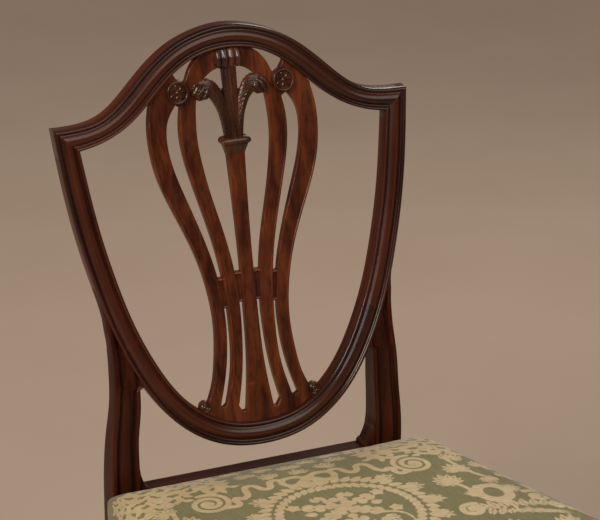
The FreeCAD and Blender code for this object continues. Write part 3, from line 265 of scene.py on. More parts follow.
floor_mesh = bpy.data.meshes.new("studio_floor")
FLOOR_HALF = 40  # metres, so that its far edge stays out of the pictures
floor_mesh.from_pydata([(x * FLOOR_HALF, y * FLOOR_HALF, 0) for x, y in ((-1, -1), (1, -1), (1, 1), (-1, 1))],
                       [], [(0, 1, 2, 3)])
studio_floor = into_scene(bpy.data.objects.new("studio_floor", floor_mesh))
studio_floor.data.materials.append(paper_floor())
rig.stage(studio_floor)

world = bpy.data.worlds.new("studio")
world.use_nodes = True
bpy.context.scene.world = world
background = world.node_tree.nodes["Background"]
background.inputs["Color"].default_value = hex_colour("#D6C4B5")
background.inputs["Strength"].default_value = 0.2
bpy.context.scene.view_settings.view_transform = "Standard"


def add_lamp(name, place, target, size, watts, colour):
    """A soft rectangular lamp that faces a point of the chair."""
    lamp = bpy.data.objects.new(name, bpy.data.lights.new(name, "AREA"))
    lamp.data.shape = "RECTANGLE"
    lamp.data.size, lamp.data.size_y = size
    lamp.data.energy = watts
    lamp.data.color = hex_colour(colour)[:3]
    lamp.location = place
    lamp.rotation_euler = (Vector(target) - Vector(place)).to_track_quat("-Z", "Y").to_euler()
    into_scene(lamp)


add_lamp("window", (-2.3, -1.3, 2.7), (0, 0.1, 0.7), (1.0, 1.4), 60, "#FFF1E0")
add_lamp("rim", (1.6, 1.9, 2.3), (0, 0.1, 0.7), (0.8, 0.8), 12, "#FFF6EC")
add_lamp("narrow window", (-1.5, -2.0, 2.2), (0, 0.2, 0.75), (0.16, 1.3), 6, "#E3ECFF")
fill = bpy.data.objects.new("fill", bpy.data.lights.new("fill", "SUN"))
fill.data.energy = 0.75
fill.data.angle = math.radians(40)
fill.data.color = hex_colour("#FFF6EC")[:3]
fill.rotation_euler = (math.radians(48), 0, math.radians(24))
into_scene(fill)

# %% [markdown]
# ## The back's own drawing
# The shield is drawn flat on its slope, as a chair maker would on a board: distance from the middle, and distance
# below the top, in millimetres. One function puts a drawn point on the raked and bowed back, so every moulding and
# carving follows the same surface as the CAD solids.

# %% From the drawing to the back
TOP_Z = 955.0  # top of the crest and its front face, in millimetres
TOP_Y = 239.6
RAKE = math.radians(12.3)  # the back's slope
BOW_CURVE = 1.0 / 6731.0  # its bow from side to side
FRAME_WIDTH = 27.5  # the shield's members
FRAME_DEPTH = 18.7
SPLAT_RECESS = 5.5  # the board behind their front
SPLAT_THICKNESS = 8.0
FINE = 0.25  # spacing of curves that others are measured against


def height_of(drop):
    """Height above the floor of a place on the drawing."""
    return TOP_Z - drop * math.cos(RAKE)


def drop_of(z):
    return (TOP_Z - z) / math.cos(RAKE)


def back_front(x, z):
    """Depth of the back's front face at a place in the front view."""
    return TOP_Y - math.tan(RAKE) * (TOP_Z - z) - x * x * BOW_CURVE


def on_back(x, drop, behind=0.0):
    """A drawn point in metres; behind is how far it lies behind the front face."""
    z = height_of(drop)
    return (x / 1000, (back_front(x, z) + behind) / 1000, z / 1000)


# %% Curves of the drawing
CREST_TOP = [(0, 0), (40, 6), (66, 15.5), (88, 28.5), (115.5, 51), (142, 75), (164, 89), (196, 95.5), (223, 95.5)]
CREST_LOW = [(0, 27), (28, 30), (72, 51), (117.5, 91), (133, 102), (153, 112), (173.5, 118.5), (193.5, 122)]
OPENING = [(193.5, 122), (186.2, 174), (177.6, 223.5), (166.6, 270), (149.9, 325.5),
           (127.8, 376), (91.6, 429), (46, 459.5), (0, 467)]
STILE_OUT = [(223, 95.5), (217.7, 145), (210.6, 196), (198.6, 258), (185.5, 314), (179.8, 352),
             (179.6, 385), (183.4, 439), (187.1, 480), (188.7, 520), (188.7, 540)]
POST_IN = [(150.3, 402), (151.1, 439), (153.4, 467), (154, 497), (154, 540)]
RIB_OUTER_OUT = [(101.6, 81.6), (106, 103), (107, 124), (101.5, 166), (82.7, 216), (63.5, 263.5), (51.6, 311),
                 (48.3, 350), (52, 391), (58.5, 420), (66, 437)]
RIB_OUTER_IN = [(70, 87), (80.7, 103), (84.4, 124), (78.8, 162), (65, 203), (51.1, 243.5), (39.6, 286),
                (33.6, 335), (34.4, 370), (41.5, 413), (50, 442)]
RIB_INNER_OUT = [(64, 91), (67, 108), (66, 145), (57.8, 182), (46.8, 223), (37.7, 261), (30.8, 310),
                 (29, 356), (31.5, 399), (42, 442)]
RIB_INNER_IN = [(45.3, 98), (46.6, 124), (43, 160), (35.3, 199), (25.8, 237), (17.4, 280), (13.5, 334),
                (14.5, 366), (18.6, 406), (27, 446)]
ARCH_OUT = [(31, 31), (41, 38.5), (48.5, 48), (54.5, 60.5), (60, 76), (64, 91)]
ARCH_IN = [(0, 48.5), (18, 52), (31, 60.5), (41, 76), (45.3, 98)]
BAR = [(11.8, 140), (10.2, 180), (9, 220), (8.2, 275), (8.6, 335), (9.6, 380), (12, 412), (17, 450)]


def smooth_curve(points, spacing=2.0):
    """Evenly spaced points on a natural cubic spline through the drawn points."""
    knots = np.asarray(points, float)
    t = np.concatenate([[0.0], np.cumsum(np.linalg.norm(np.diff(knots, axis=0), axis=1))])
    n = len(t)
    gaps = np.diff(t)
    system = np.zeros((n, n))
    right = np.zeros((n, 2))
    system[0, 0] = system[-1, -1] = 1.0
    for i in range(1, n - 1):
        system[i, i - 1:i + 2] = gaps[i - 1], 2 * (gaps[i - 1] + gaps[i]), gaps[i]
        right[i] = 6 * ((knots[i + 1] - knots[i]) / gaps[i] - (knots[i] - knots[i - 1]) / gaps[i - 1])
    bend = np.linalg.solve(system, right)
    where = np.linspace(0, t[-1], max(2, int(t[-1] / spacing) + 1))
    k = np.clip(np.searchsorted(t, where, "right") - 1, 0, n - 2)
    g, a, b = gaps[k][:, None], (t[k + 1] - where)[:, None], (where - t[k])[:, None]
    curve = (bend[k] * a ** 3 + bend[k + 1] * b ** 3) / (6 * g)
    curve += (knots[k] / g - bend[k] * g / 6) * a + (knots[k + 1] / g - bend[k + 1] * g / 6) * b
    return curve


def both_sides(points):
    """A drawn curve from its left end over the middle to its right end."""
    right = np.asarray(points, float)
    return np.vstack([(right * [-1, 1])[:0:-1], right])


def square_to(line):
    """At each point of a line, the direction at right angles to it; down, for a line drawn from left to right."""
    along = np.gradient(line, axis=0)
    along /= np.linalg.norm(along, axis=1)[:, None]
    return np.stack([-along[:, 1], along[:, 0]], axis=1)


def lengths_along(line):
    """Distance from the start of a line to each of its points."""
    return np.concatenate([[0.0], np.cumsum(np.linalg.norm(np.diff(line, axis=0), axis=1))])


def at_lengths(line, where):
    """Points of a line at distances from its start."""
    steps = lengths_along(line)
    return np.stack([np.interp(where, steps, line[:, axis]) for axis in (0, 1)], axis=1)


def opposite(line, fine_line, mitre=60.0):
    """For each point of a line its mate on another: square across, but slanting to the mitres at both ends."""
    distances = np.linalg.norm(line[:, None, :] - fine_line[None, :, :], axis=2)
    mates = lengths_along(fine_line)[np.argmin(distances, axis=1)]
    steps = lengths_along(line)
    first, last = np.searchsorted(steps, mitre), np.searchsorted(steps, steps[-1] - mitre)
    mates[:first] = steps[:first] / steps[first] * mates[first]
    end = lengths_along(fine_line)[-1]
    mates[last:] = end - (steps[-1] - steps[last:]) / (steps[-1] - steps[last]) * (end - mates[last])
    return at_lengths(fine_line, mates)


crest_top = smooth_curve(both_sides(CREST_TOP))
crest_low = opposite(crest_top, smooth_curve(both_sides(CREST_LOW), FINE))
OPENING_POINTS = both_sides(OPENING[::-1])
opening = smooth_curve(OPENING_POINTS)
fine_opening = smooth_curve(OPENING_POINTS, FINE)
fine_band = fine_opening + square_to(fine_opening) * FRAME_WIDTH
knots = [np.argmin(np.linalg.norm(fine_opening - point, axis=1)) for point in OPENING_POINTS]
band_knots = fine_band[knots]
ear_x, ear_drop = CREST_TOP[-1]
band_knots[0], band_knots[-1] = (-ear_x, ear_drop), (ear_x, ear_drop)
fine_band = smooth_curve(band_knots, FINE)
band = opposite(opening, fine_band)
print("drawn curves:", len(crest_top), len(opening), "points")

# %% [markdown]
# ## Mahogany
# The frame is old mahogany, oiled and polished many times. Such wood is deep red-brown, with short dark pore streaks
# along the grain and a slow ribbon of lighter and darker bands. Old wax and painted shade darken the hollows, and wear
# and a painted highlight lighten the arrises. Each bent member's own UV map runs along its grain in metres, so the
# streaks bend with it.

# %% Mahogany
def mahogany(name, dark, light, coat=0.2, along="UV", shine=0.4):
    """French polished mahogany; the grain runs along U of the UV map, or along Z of the object."""
    material, tree = new_material(name)
    place = add_node(tree, "ShaderNodeTexCoord")
    turned = 1 if along == "UV" else -1
    pores = streaks(tree, place.outputs[along], (9.0, 260.0, 260.0)[::turned], Detail=6.0, Roughness=0.6)
    bands = streaks(tree, place.outputs[along], (2.2, 55.0, 55.0)[::turned], Detail=3.0, Distortion=0.6)
    clouds = add_node(tree, "ShaderNodeTexNoise", Vector=place.outputs["Object"], Scale=14.0, Detail=2.0)
    ribbon = add_node(tree, "ShaderNodeValToRGB", {"stops": ((0.34, dark), (0.66, light))}, Fac=bands.outputs["Fac"])
    pore_tones = ((0.36, (0.42, 0.42, 0.42, 1)), (0.52, (1, 1, 1, 1)))
    streak = add_node(tree, "ShaderNodeValToRGB", {"stops": pore_tones}, Fac=pores.outputs["Fac"])
    grained = add_node(tree, "ShaderNodeMix", {"data_type": "RGBA", "blend_type": "MULTIPLY"},
                       _0=0.75, _6=ribbon.outputs["Color"], _7=streak.outputs["Color"])
    patch_tones = ((0.3, (0.7, 0.66, 0.64, 1)), (0.7, (1.15, 1.1, 1.08, 1)))
    patches = add_node(tree, "ShaderNodeValToRGB", {"stops": patch_tones}, Fac=clouds.outputs["Fac"])
    toned = add_node(tree, "ShaderNodeMix", {"data_type": "RGBA", "blend_type": "MULTIPLY"},
                     _0=0.55, _6=grained.outputs[2], _7=patches.outputs["Color"])
    # Arrises are lighter and warmer, from wear and a painted highlight; hollows are darker, from old wax and painted
    # shade
    form = add_node(tree, "ShaderNodeNewGeometry")
    hollow_to_arris = ((0.44, (0.2, 0.18, 0.18, 1)), (0.5, (1, 1, 1, 1)), (0.58, (1.75, 1.6, 1.35, 1)))
    wear_wax_and_painted_light = add_node(tree, "ShaderNodeValToRGB", {"stops": hollow_to_arris}, Fac=form.outputs["Pointiness"])
    edged = add_node(tree, "ShaderNodeMix", {"data_type": "RGBA", "blend_type": "MULTIPLY"},
                     _0=0.85, _6=toned.outputs[2], _7=wear_wax_and_painted_light.outputs["Color"])
    gloss = add_node(tree, "ShaderNodeMapRange", Value=clouds.outputs["Fac"], From_Min=0.3, From_Max=0.7,
                     To_Min=0.2, To_Max=0.34)
    bump = add_node(tree, "ShaderNodeBump", Strength=0.12, Distance=0.0004, Height=pores.outputs["Fac"])
    shader = add_node(tree, "ShaderNodeBsdfPrincipled", Base_Color=edged.outputs[2], Roughness=gloss.outputs[0],
                      Normal=bump.outputs[0], Coat_Weight=coat, Coat_Roughness=0.1, IOR=1.42)
    shader.inputs["Specular IOR Level"].default_value = shine
    surface(tree, shader)
    return material


MOULDED_WOOD = mahogany("old polished mahogany, moulded", "#250E07", "#5A2712", coat=0.3)
BOARD_WOOD = mahogany("old polished mahogany, splat board", "#3A170A", "#6E3517", coat=0.08, along="Object")
CARVED_WOOD = mahogany("old polished mahogany, carved", "#28130B", "#563019", coat=0.3, along="Object")
# The plain wood has no coat and less shine, and a darker tone than the moulded wood: that darker tone is painted shade
LEG_WOOD = mahogany("old polished mahogany, plain", "#260E07", "#48200F", coat=0.0, along="Object", shine=0.22)

# %% [markdown]
# ## The moulded frame of the shield
# A chair maker scratched this moulding with a shaped steel cutter: a bead, a hollow, a broad reed, a hollow and a bead.
# Crest and stiles meet in mitres at the ears. Each member is built as rings of points across the moulding, so the lines
# run true round every curve. At an ear the rings turn to the mitre's slant.

# %% Rings of points become a mesh
BEAD_TO_BEAD = [  # share of the width, depth behind the front in millimetres
    (0.0, 3.4), (0.012, 2.2), (0.035, 1.1), (0.07, 0.35), (0.105, 0.1), (0.14, 0.4), (0.165, 1.1), (0.18, 2.0),
    (0.195, 2.9), (0.22, 3.3), (0.25, 3.4), (0.28, 3.1), (0.31, 2.4), (0.345, 1.65), (0.39, 0.95), (0.45, 0.35),
    (0.51, 0.1), (0.57, 0.2), (0.63, 0.65), (0.685, 1.4), (0.725, 2.3), (0.755, 3.0), (0.785, 3.3), (0.815, 3.2),
    (0.835, 2.6), (0.85, 1.7), (0.87, 0.9), (0.9, 0.3), (0.93, 0.1), (0.96, 0.35), (0.985, 1.1), (1.0, 2.4),
]


def object_from(name, vertices, faces, material, uvs=None):
    """A mesh object at the origin. uvs holds one pair for each corner of each face, in face order."""
    mesh = bpy.data.meshes.new(name)
    mesh.from_pydata([tuple(v) for v in vertices], [], [tuple(int(i) for i in f) for f in faces])
    if uvs is not None:
        layer = mesh.uv_layers.new(name="UVMap")
        layer.data.foreach_set("uv", np.asarray(uvs, np.float32).ravel())
    made = into_scene(bpy.data.objects.new(name, mesh))
    if material is not None:
        mesh.materials.append(material)
    return made


def turn_outwards(obj):
    """Makes every closed shell of a mesh face outwards."""
    work = bmesh.new()
    work.from_mesh(obj.data)
    bmesh.ops.recalc_face_normals(work, faces=work.faces)
    if work.calc_volume(signed=True) < 0:
        bmesh.ops.reverse_faces(work, faces=work.faces)
    work.to_mesh(obj.data)
    work.free()


def shade(obj, degrees=38):
    """Smooth faces, but crisp edges where they turn more sharply than the angle."""
    obj.data.shade_smooth()
    obj.data.set_sharp_from_angle(angle=math.radians(degrees))


def rings_to_object(name, rings, material, sharp=38):
    """Joins rings of points, each with as many points, into a closed member with a UV map along it in metres."""
    rings = np.asarray(rings, float)
    count, size = rings.shape[:2]
    centre = rings.mean(axis=1)
    along = np.concatenate([[0.0], np.cumsum(np.linalg.norm(np.diff(centre, axis=0), axis=1))])
    girth = rings[count // 2]
    around = np.concatenate([[0.0], np.cumsum(np.linalg.norm(girth - np.roll(girth, -1, axis=0), axis=1))])
    faces, uvs = [], []
    for i in range(count - 1):
        for j in range(size):
            k = (j + 1) % size
            faces.append((i * size + j, i * size + k, (i + 1) * size + k, (i + 1) * size + j))
            uvs += [(along[i + a], around[j + b]) for a, b in ((0, 0), (0, 1), (1, 1), (1, 0))]
    for i, order in ((0, range(size - 1, -1, -1)), (count - 1, range(size))):
        faces.append([i * size + j for j in order])
        uvs += [(along[i] + rings[i][j][0], rings[i][j][2]) for j in order]
    made = object_from(name, rings.reshape(-1, 3), faces, material, uvs)
    turn_outwards(made)
    shade(made, sharp)
    return made


def join(name, parts):
    """Joins finished objects into one piece and keeps the first one's place in the scene."""
    with bpy.context.temp_override(active_object=parts[0], selected_editable_objects=parts):
        bpy.ops.object.join()
    parts[0].name = name
    parts[0].data.name = name
    return parts[0]


ARRIS = 0.9


def member_rings(outer_line, inner_line):
    """Rings across a member of the shield: moulding points on the front, softened corners behind."""
    rings = []
    for outer, inner in zip(outer_line, inner_line):
        soft = ARRIS / np.linalg.norm(inner - outer)
        side = FRAME_DEPTH - ARRIS
        ring = []
        for v, depth in [*BEAD_TO_BEAD, (1.0, side), (1.0 - soft, FRAME_DEPTH), (soft, FRAME_DEPTH), (0.0, side)]:
            x, drop = outer * (1 - v) + inner * v
            ring.append(on_back(x, drop, depth))
        rings.append(ring)
    return rings


# %% Crest rail and lower rail
JOINT_DROP = 345.0  # where the lower rail meets the stiles
low_part = np.where(opening[:, 1] > JOINT_DROP)[0]
first, last = low_part[0], low_part[-1]
crest = rings_to_object("crest_moulded", member_rings(crest_top, crest_low), MOULDED_WOOD)
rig.ride(crest, "root")
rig.replaces(crest, "crest_rail")
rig.slot(crest, "mahogany")
lower = rings_to_object(
    "lower_rail_moulded", member_rings(band[first:last + 1], opening[first:last + 1]), MOULDED_WOOD)
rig.ride(lower, "root")
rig.replaces(lower, "shield_lower_rail")
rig.slot(lower, "mahogany")
print("crest and lower rail:", len(crest.data.polygons), len(lower.data.polygons), "faces")

# %% [markdown]
# ## The rear legs
# Leg, post and stile are one long piece of wood. Here the stile is drawn with the shield, and leg and post are a row of
# level cuts that end hidden behind it. The post carries the same moulding, which dies out where the seat begins. Below
# the seat the leg is plain, square and raked to the rear.

# %% Rear legs
RAIL_TOP = 432.0
RAIL_BOTTOM = 370.0
POST_OUT = 188.7  # outer and inner face of the post at the seat
POST_INSIDE = 154.0
POST_FRONT = 148.0
POST_MIDDLE = (POST_OUT + POST_INSIDE) / 2
LEG_DEPTH = 32.0
CROTCH = 402.0  # the drop at which post and shield part
above_seat = [432, 470, 507, 545, 582, 622, 660]
plane = [back_front(POST_MIDDLE, z) for z in above_seat]
fronts = [POST_FRONT, 148.2, 149.8, plane[3] + 2.6, plane[4], plane[5], plane[6]]
depths = [LEG_DEPTH, 31.0, 28.0, 26.0, 26.0, 22.35, 18.7]
front_line = smooth_curve(list(zip(above_seat, fronts)), 1.0)
depth_line = smooth_curve(list(zip(above_seat, depths)), 1.0)
stile_outer = smooth_curve(STILE_OUT, 1.0)
post_inner = smooth_curve(POST_IN, 1.0)
right_band = fine_band[len(fine_band) // 2:][::-1]


def post_section(z):
    """Outer and inner edge, front and depth of the right rear leg at a height."""
    drop = drop_of(z)
    if z >= RAIL_TOP:
        outer = np.interp(drop, stile_outer[:, 1], stile_outer[:, 0])
        edge = right_band if drop < CROTCH else post_inner
        inner = np.interp(drop, edge[:, 1], edge[:, 0])
        if drop < 340:  # beside the stile the post thins out to nothing
            grown = float(np.clip((drop - 279) / 55, 0, 1))
            outer = inner + 0.05 + max(0.0, outer - inner) * grown ** 1.5
        front = np.interp(z, front_line[:, 0], front_line[:, 1]) if z < above_seat[-1] else back_front(POST_MIDDLE, z)
        front += float(np.clip((z - 600) / 40, 0, 1)) * 1.2
        return outer, inner, front, np.interp(z, depth_line[:, 0], depth_line[:, 1])
    if z >= RAIL_BOTTOM:
        return POST_OUT, POST_INSIDE, POST_FRONT, LEG_DEPTH
    # Below the rail the leg tapers and leans to the rear
    down = (RAIL_BOTTOM - z) / RAIL_BOTTOM
    return POST_OUT, POST_INSIDE + 8.7 * down, POST_FRONT + 48.0 * down, LEG_DEPTH - 6.0 * down


def flare_at(z):
    """How far the bracket over the rear rail stands out at a height."""
    bracket = [(431.99, 0.0), (432.0, 13.0), (436.5, 13.0), (438, 8.5), (441, 7.0), (447, 4.2), (454, 1.8), (466, 0.3),
               (470, 0)]
    return float(np.interp(z, *zip(*bracket)))


CHAMFER = 1.6
SOFT = 1.0  # the rounding of the plain leg's front corners
outer_there, inner_there = post_section(height_of(CROTCH - 0.1))[:2]
POST_MOULDING = outer_there - inner_there
print("moulding of the post:", round(float(POST_MOULDING), 1), "mm wide")


def leg_rings():
    """Level cuts up the right leg. Above the crotch the post's moulding runs on and is cut off by the shield."""
    heights = list(np.arange(680, 470, -3.0)) + list(np.arange(470, 432.2, -1.5))
    heights += [432.0, 431.98, 425, 400, 371, 370, 369] + list(np.linspace(350, 12, 18)) + [3.0, 1.2, 0.0]
    rings = []
    for z in heights:
        outer, inner, front, depth = post_section(z)
        risen = CROTCH - drop_of(z)
        under_shield = risen > 0 and z > RAIL_TOP
        wide = POST_MOULDING if under_shield else outer - inner
        edge = inner - (3.0 * float(np.clip(risen / 9.0, 0.0, 1.0)) if under_shield else 0.0)
        strength = float(np.clip((z - 424) / 12.0, 0.0, 1.0))
        bow = float(np.clip((z - RAIL_TOP) / 60.0, 0.0, 1.0)) * BOW_CURVE
        soft = (1 - strength) * (SOFT if z > 2 else SOFT + (2 - z) * 0.8)
        ring = []
        for v, dip in BEAD_TO_BEAD:
            x = max(edge, outer - wide * v)
            if under_shield:
                dip = float(np.interp((outer - x) / wide, *zip(*BEAD_TO_BEAD))) + min(1.0, risen / 20.0)
            corner = soft if v in (0.0, 1.0) else 0.0
            ring.append((x - 1e-4 * v, front + (POST_MIDDLE ** 2 - x * x) * bow + dip * strength + corner, z))
        inside = edge - flare_at(z)
        front_in, front_out = (front + (POST_MIDDLE ** 2 - x * x) * bow for x in (inner, outer))
        back = depth - (1.2 if under_shield and outer - inner < 12 else 0.0)
        ring.append((inside, front_in + 3.7 * strength + soft + 0.02, z))
        ring += [(inside, front_in + back - CHAMFER, z), (inside + CHAMFER, front_in + back, z),
                 (outer - CHAMFER, front_out + back, z), (outer, front_out + back - CHAMFER, z)]
        rings.append(ring)
    return np.asarray(rings) / 1000


stile, post = np.asarray(member_rings(band[last:], opening[last:])), leg_rings()
# Stiles take the moulded wood; leg and post take the plain wood, whose darker tone is painted shade
for side, name in ((1, "right"), (-1, "left")):
    parts = [rings_to_object("shield_stile_" + name, stile * [side, 1, 1], MOULDED_WOOD),
             rings_to_object("rear_leg_and_post_" + name, post * [side, 1, 1], LEG_WOOD)]
    for part in parts:
        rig.ride(part, "root")
        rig.replaces(part, "rear_leg_" + name)
        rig.slot(part, "mahogany")
        print(part.name, len(part.data.polygons), "faces")

# %% [markdown]
# ## The splat board
# The splat is one thin board, pierced with a fret saw, its arrises then softened with a file. A flat curve with holes
# in it, given thickness and a bevel, is that very thing. Its mesh is then bent onto the slope and bow of the back.

# %% Pierced board
EDGE_SPACING = 1.6


def outline_points(*runs):
    """Joins runs of drawn points into one closed outline; runs of more than two points are smoothed."""
    points = []
    for run in runs:
        run = smooth_curve(run, EDGE_SPACING) if len(run) > 2 else np.asarray(run, float)
        for point in run:
            if not points or math.hypot(*(point - points[-1])) > 0.3:
                points.append(point)
    if math.hypot(*(points[0] - points[-1])) < 0.3:
        points.pop()
    return np.asarray(points)


def flipped(points):
    """The left side's copy of a drawn outline."""
    return np.asarray(points, float) * [-1, 1]


right_edge = outline_points(
    [(0, 26.4), (28, 29.4), (31, 30.4)], ARCH_OUT[:4], [(54.5, 60.5), (60, 66)], [(60, 66), (69, 52)],
    [(69, 52), (70, 49.2)], [(70, 49.2), (86, 61.5), (101.6, 79)], RIB_OUTER_OUT, [(66, 437), (70, 446.5)],
    [(70, 447.5), (46, 460.3), (24, 466), (0, 467.8)])
board_edge = np.vstack([right_edge, flipped(right_edge)[-2:0:-1]])
arch, outer_in, inner_out, inner_in, bar = (
    smooth_curve(line, EDGE_SPACING) for line in (ARCH_IN, RIB_OUTER_IN, RIB_INNER_OUT, RIB_INNER_IN, BAR))
outer_gap = np.vstack([outer_in, [(46, 444.5)], inner_out[::-1]])
inner_gap = np.vstack([arch, inner_in[1:], [(22, 453.7), (17.5, 453)], bar[::-1]])
holes = [outer_gap, flipped(outer_gap), np.vstack([inner_gap, flipped(inner_gap)[:0:-1]])]


def finished_mesh(obj):
    """The plain mesh that a curve or a modifier gives; the object itself is removed."""
    bpy.context.view_layer.update()
    mesh = bpy.data.meshes.new_from_object(obj.evaluated_get(bpy.context.evaluated_depsgraph_get()))
    bpy.data.objects.remove(obj)
    return mesh


def pierced_board(name, outlines, thickness, arris):
    """A flat curve with holes, thickened and bevelled, as a mesh still lying on the drawing, in millimetres."""
    curve = bpy.data.curves.new(name, "CURVE")
    curve.dimensions = "2D"
    curve.fill_mode = "BOTH"
    curve.extrude = thickness / 2 - arris
    curve.bevel_depth = arris
    curve.bevel_resolution = 2
    curve.offset = -arris
    for outline in outlines:
        spline = curve.splines.new("POLY")
        spline.points.add(len(outline) - 1)
        height_and_weight = np.tile((0.0, 1.0), (len(outline), 1))
        spline.points.foreach_set("co", np.hstack([outline, height_and_weight]).ravel())
        spline.use_cyclic_u = True
    mesh = finished_mesh(into_scene(bpy.data.objects.new(name, curve)))
    return into_scene(bpy.data.objects.new(name, mesh))


def move_points(mesh, to_place):
    """Gives every point of a mesh the place that a function works out from its own."""
    coords = np.empty(len(mesh.vertices) * 3)
    mesh.vertices.foreach_get("co", coords)
    placed = [to_place(*point) for point in coords.reshape(-1, 3)]
    mesh.vertices.foreach_set("co", np.asarray(placed).ravel())
    mesh.update()


def weigh_normals(obj):
    """Keeps broad flat faces flat beside their narrow bevels."""
    modifier = obj.modifiers.new("weigh", "WEIGHTED_NORMAL")
    modifier.keep_sharp = True
    modifier.weight = 90
    with bpy.context.temp_override(object=obj, active_object=obj):
        bpy.ops.object.modifier_apply(modifier=modifier.name)


board = pierced_board("splat_board", [board_edge] + holes, SPLAT_THICKNESS, 1.1)
work = bmesh.new()
work.from_mesh(board.data)
bmesh.ops.remove_doubles(work, verts=work.verts, dist=0.01)
# Long faces are cut every 6 mm across the board, so that they can follow its bow
for x in np.arange(-102, 103, 6.0):
    everything = work.verts[:] + work.edges[:] + work.faces[:]
    bmesh.ops.bisect_plane(work, geom=everything, plane_co=(x + 0.01, 0, 0), plane_no=(1, 0, 0), dist=1e-4)
work.to_mesh(board.data)
work.free()
move_points(board.data, lambda x, drop, height: on_back(x, drop, SPLAT_RECESS + SPLAT_THICKNESS / 2 - height))
board.data.materials.clear()
board.data.materials.append(BOARD_WOOD)
turn_outwards(board)
shade(board, 40)
weigh_normals(board)
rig.ride(board, "root")
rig.replaces(board, "splat")
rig.slot(board, "mahogany")
print("splat board:", len(board.data.polygons), "faces")

# %% [markdown]
# ## Waist bridges, collar and plumes
# Small bridges tie the ribs together at the waist, set back behind them. On the bar sits a turned-looking collar, and
# three feathers rise from it. A carver leaves this wood thick, then cuts lobes and chevrons. Here each part is a row of
# closed rings along its own line, and the depth of every point is worked out from the carver's cut at that place.

# %% Waist bridges
def closed_ring(front, depth_at, back):
    """A ring from drawn points across a member: front points with their depths, then two back corners."""
    ring = [on_back(x, drop, depth) for (x, drop), depth in zip(front, depth_at)]
    ring += [on_back(*front[-1], back), on_back(*front[0], back)]
    return ring


def edge_at(line, drop):
    """Distance from the middle of a drawn edge."""
    fine = smooth_curve(line, 1.0)
    return float(np.interp(drop, fine[:, 1], fine[:, 0]))


BRIDGE_SET_BACK = 2.6
WAIST_BACK = SPLAT_RECESS + SPLAT_THICKNESS - 0.4
BRIDGE_SECTION = [(0, -0.4), (0.02, -1.2), (0.05, -1.6), (0.08, -1.2), (0.1, 0), (0.3, 0), (0.7, 0), (0.9, 0),
                  (0.92, -1.2), (0.95, -1.6), (0.98, -1.2), (1, -0.4)]  # share of its height, depth of its fillets
bridges = []
for inside, outside, top, bottom in ((RIB_INNER_OUT, RIB_OUTER_IN, 293.5, 329.5), (BAR, RIB_INNER_IN, 289.0, 324.7)):
    for side in (1, -1):
        rings = []
        for t in np.linspace(0, 1, 7):
            front, depths = [], []
            for u, proud in BRIDGE_SECTION:
                drop = top + (bottom - top) * u
                low, high = edge_at(inside, drop) - 2.0, edge_at(outside, drop) + 2.0
                front.append((side * (low + (high - low) * t), drop))
                depths.append(SPLAT_RECESS + BRIDGE_SET_BACK + proud)
            rings.append(closed_ring(front, depths, WAIST_BACK))
        bridges.append(rings_to_object("bridge", rings, BOARD_WOOD))
print("waist bridges:", len(bridges))

# %% Beads along the ribs
beads = []
for edge in (RIB_OUTER_OUT, RIB_INNER_OUT):
    for side in (1, -1):
        line = smooth_curve(edge, 2.0)[6:-2]
        inwards = square_to(line)
        rings = []
        for i, point in enumerate(line):
            thin = min(1.0, i / 8, (len(line) - 1 - i) / 8)
            front = [(point + inwards[i] * (0.5 + 3.2 * v)) * [side, 1] for v in (0, 0.1, 0.3, 0.5, 0.7, 0.86, 1)]
            lift = [0.2] + [-h * thin for h in (0.8, 1.35, 1.55, 1.3, 0.7)] + [0.2]
            rings.append(closed_ring(front, [SPLAT_RECESS + h for h in lift], SPLAT_RECESS + 1.0))
        beads.append(rings_to_object("bead", rings, BOARD_WOOD, sharp=60))
print("rib beads:", len(beads))

# %% Collar
COLLAR = [  # drop, half width, depth
    (130.6, 12.0, 3.2), (131.2, 15.2, 1.2), (132.2, 17.0, 0.2), (133.6, 18.2, -0.7), (135.4, 18.6, -1.1),
    (137.2, 18.2, -0.7), (138.6, 17.0, 0.2), (139.4, 15.6, 1.3), (141, 14.9, 1.7), (143.5, 14.0, 2.4),
    (146, 13.0, 3.3), (148.5, 12.3, 4.3), (150.5, 12.0, 5.3)]
across = [(-1, 2.4), (-0.97, 1.0), (-0.9, 0.25), (-0.6, 0), (0, 0), (0.6, 0), (0.9, 0.25), (0.97, 1.0), (1, 2.4)]
rings = []
for drop, half, depth in COLLAR:
    rings.append(closed_ring([(half * v, drop) for v, _ in across], [depth + soft for _, soft in across], WAIST_BACK))
collar = rings_to_object("collar", rings, CARVED_WOOD, sharp=50)
print("collar:", len(rings), "rings")


# %% Feathers
BARB_SPACING = 5.2


def feather(name, spine, half_widths, crowns, cut, chevron, samples=90, across=25):
    """A carved feather along a drawn spine. half_widths and crowns are (share, mm) along it; cut is how deep its
    barbs go, and chevron how far they slant."""
    line = smooth_curve(spine, FINE)
    steps = lengths_along(line)
    where = np.linspace(0, steps[-1], samples)
    centre = at_lengths(line, where)
    square = square_to(centre)
    share = where / steps[-1]
    rings = []
    for i in range(samples):
        half = np.interp(share[i], *zip(*half_widths))
        crown = np.interp(share[i], *zip(*crowns))
        front, depths = [], []
        for v in np.linspace(-1, 1, across):
            reach = 1.0 + 0.05 * math.sin(where[i] * 2.1) * (abs(v) > 0.9)
            rise = crown * math.sqrt(max(0.0, 1 - (0.93 * v) ** 2))
            vane = cut * abs(math.sin(math.pi * (where[i] + chevron * abs(v)) / BARB_SPACING))
            vane -= 0.9 * cut * math.exp(-(v / 0.09) ** 2)
            front.append(centre[i] + square[i] * half * v * reach)
            depths.append(SPLAT_RECESS - rise + vane)
        rings.append(closed_ring(front, depths, WAIST_BACK if share[i] < 0.62 else SPLAT_RECESS + 1.5))
    return rings_to_object(name, rings, CARVED_WOOD, sharp=60)


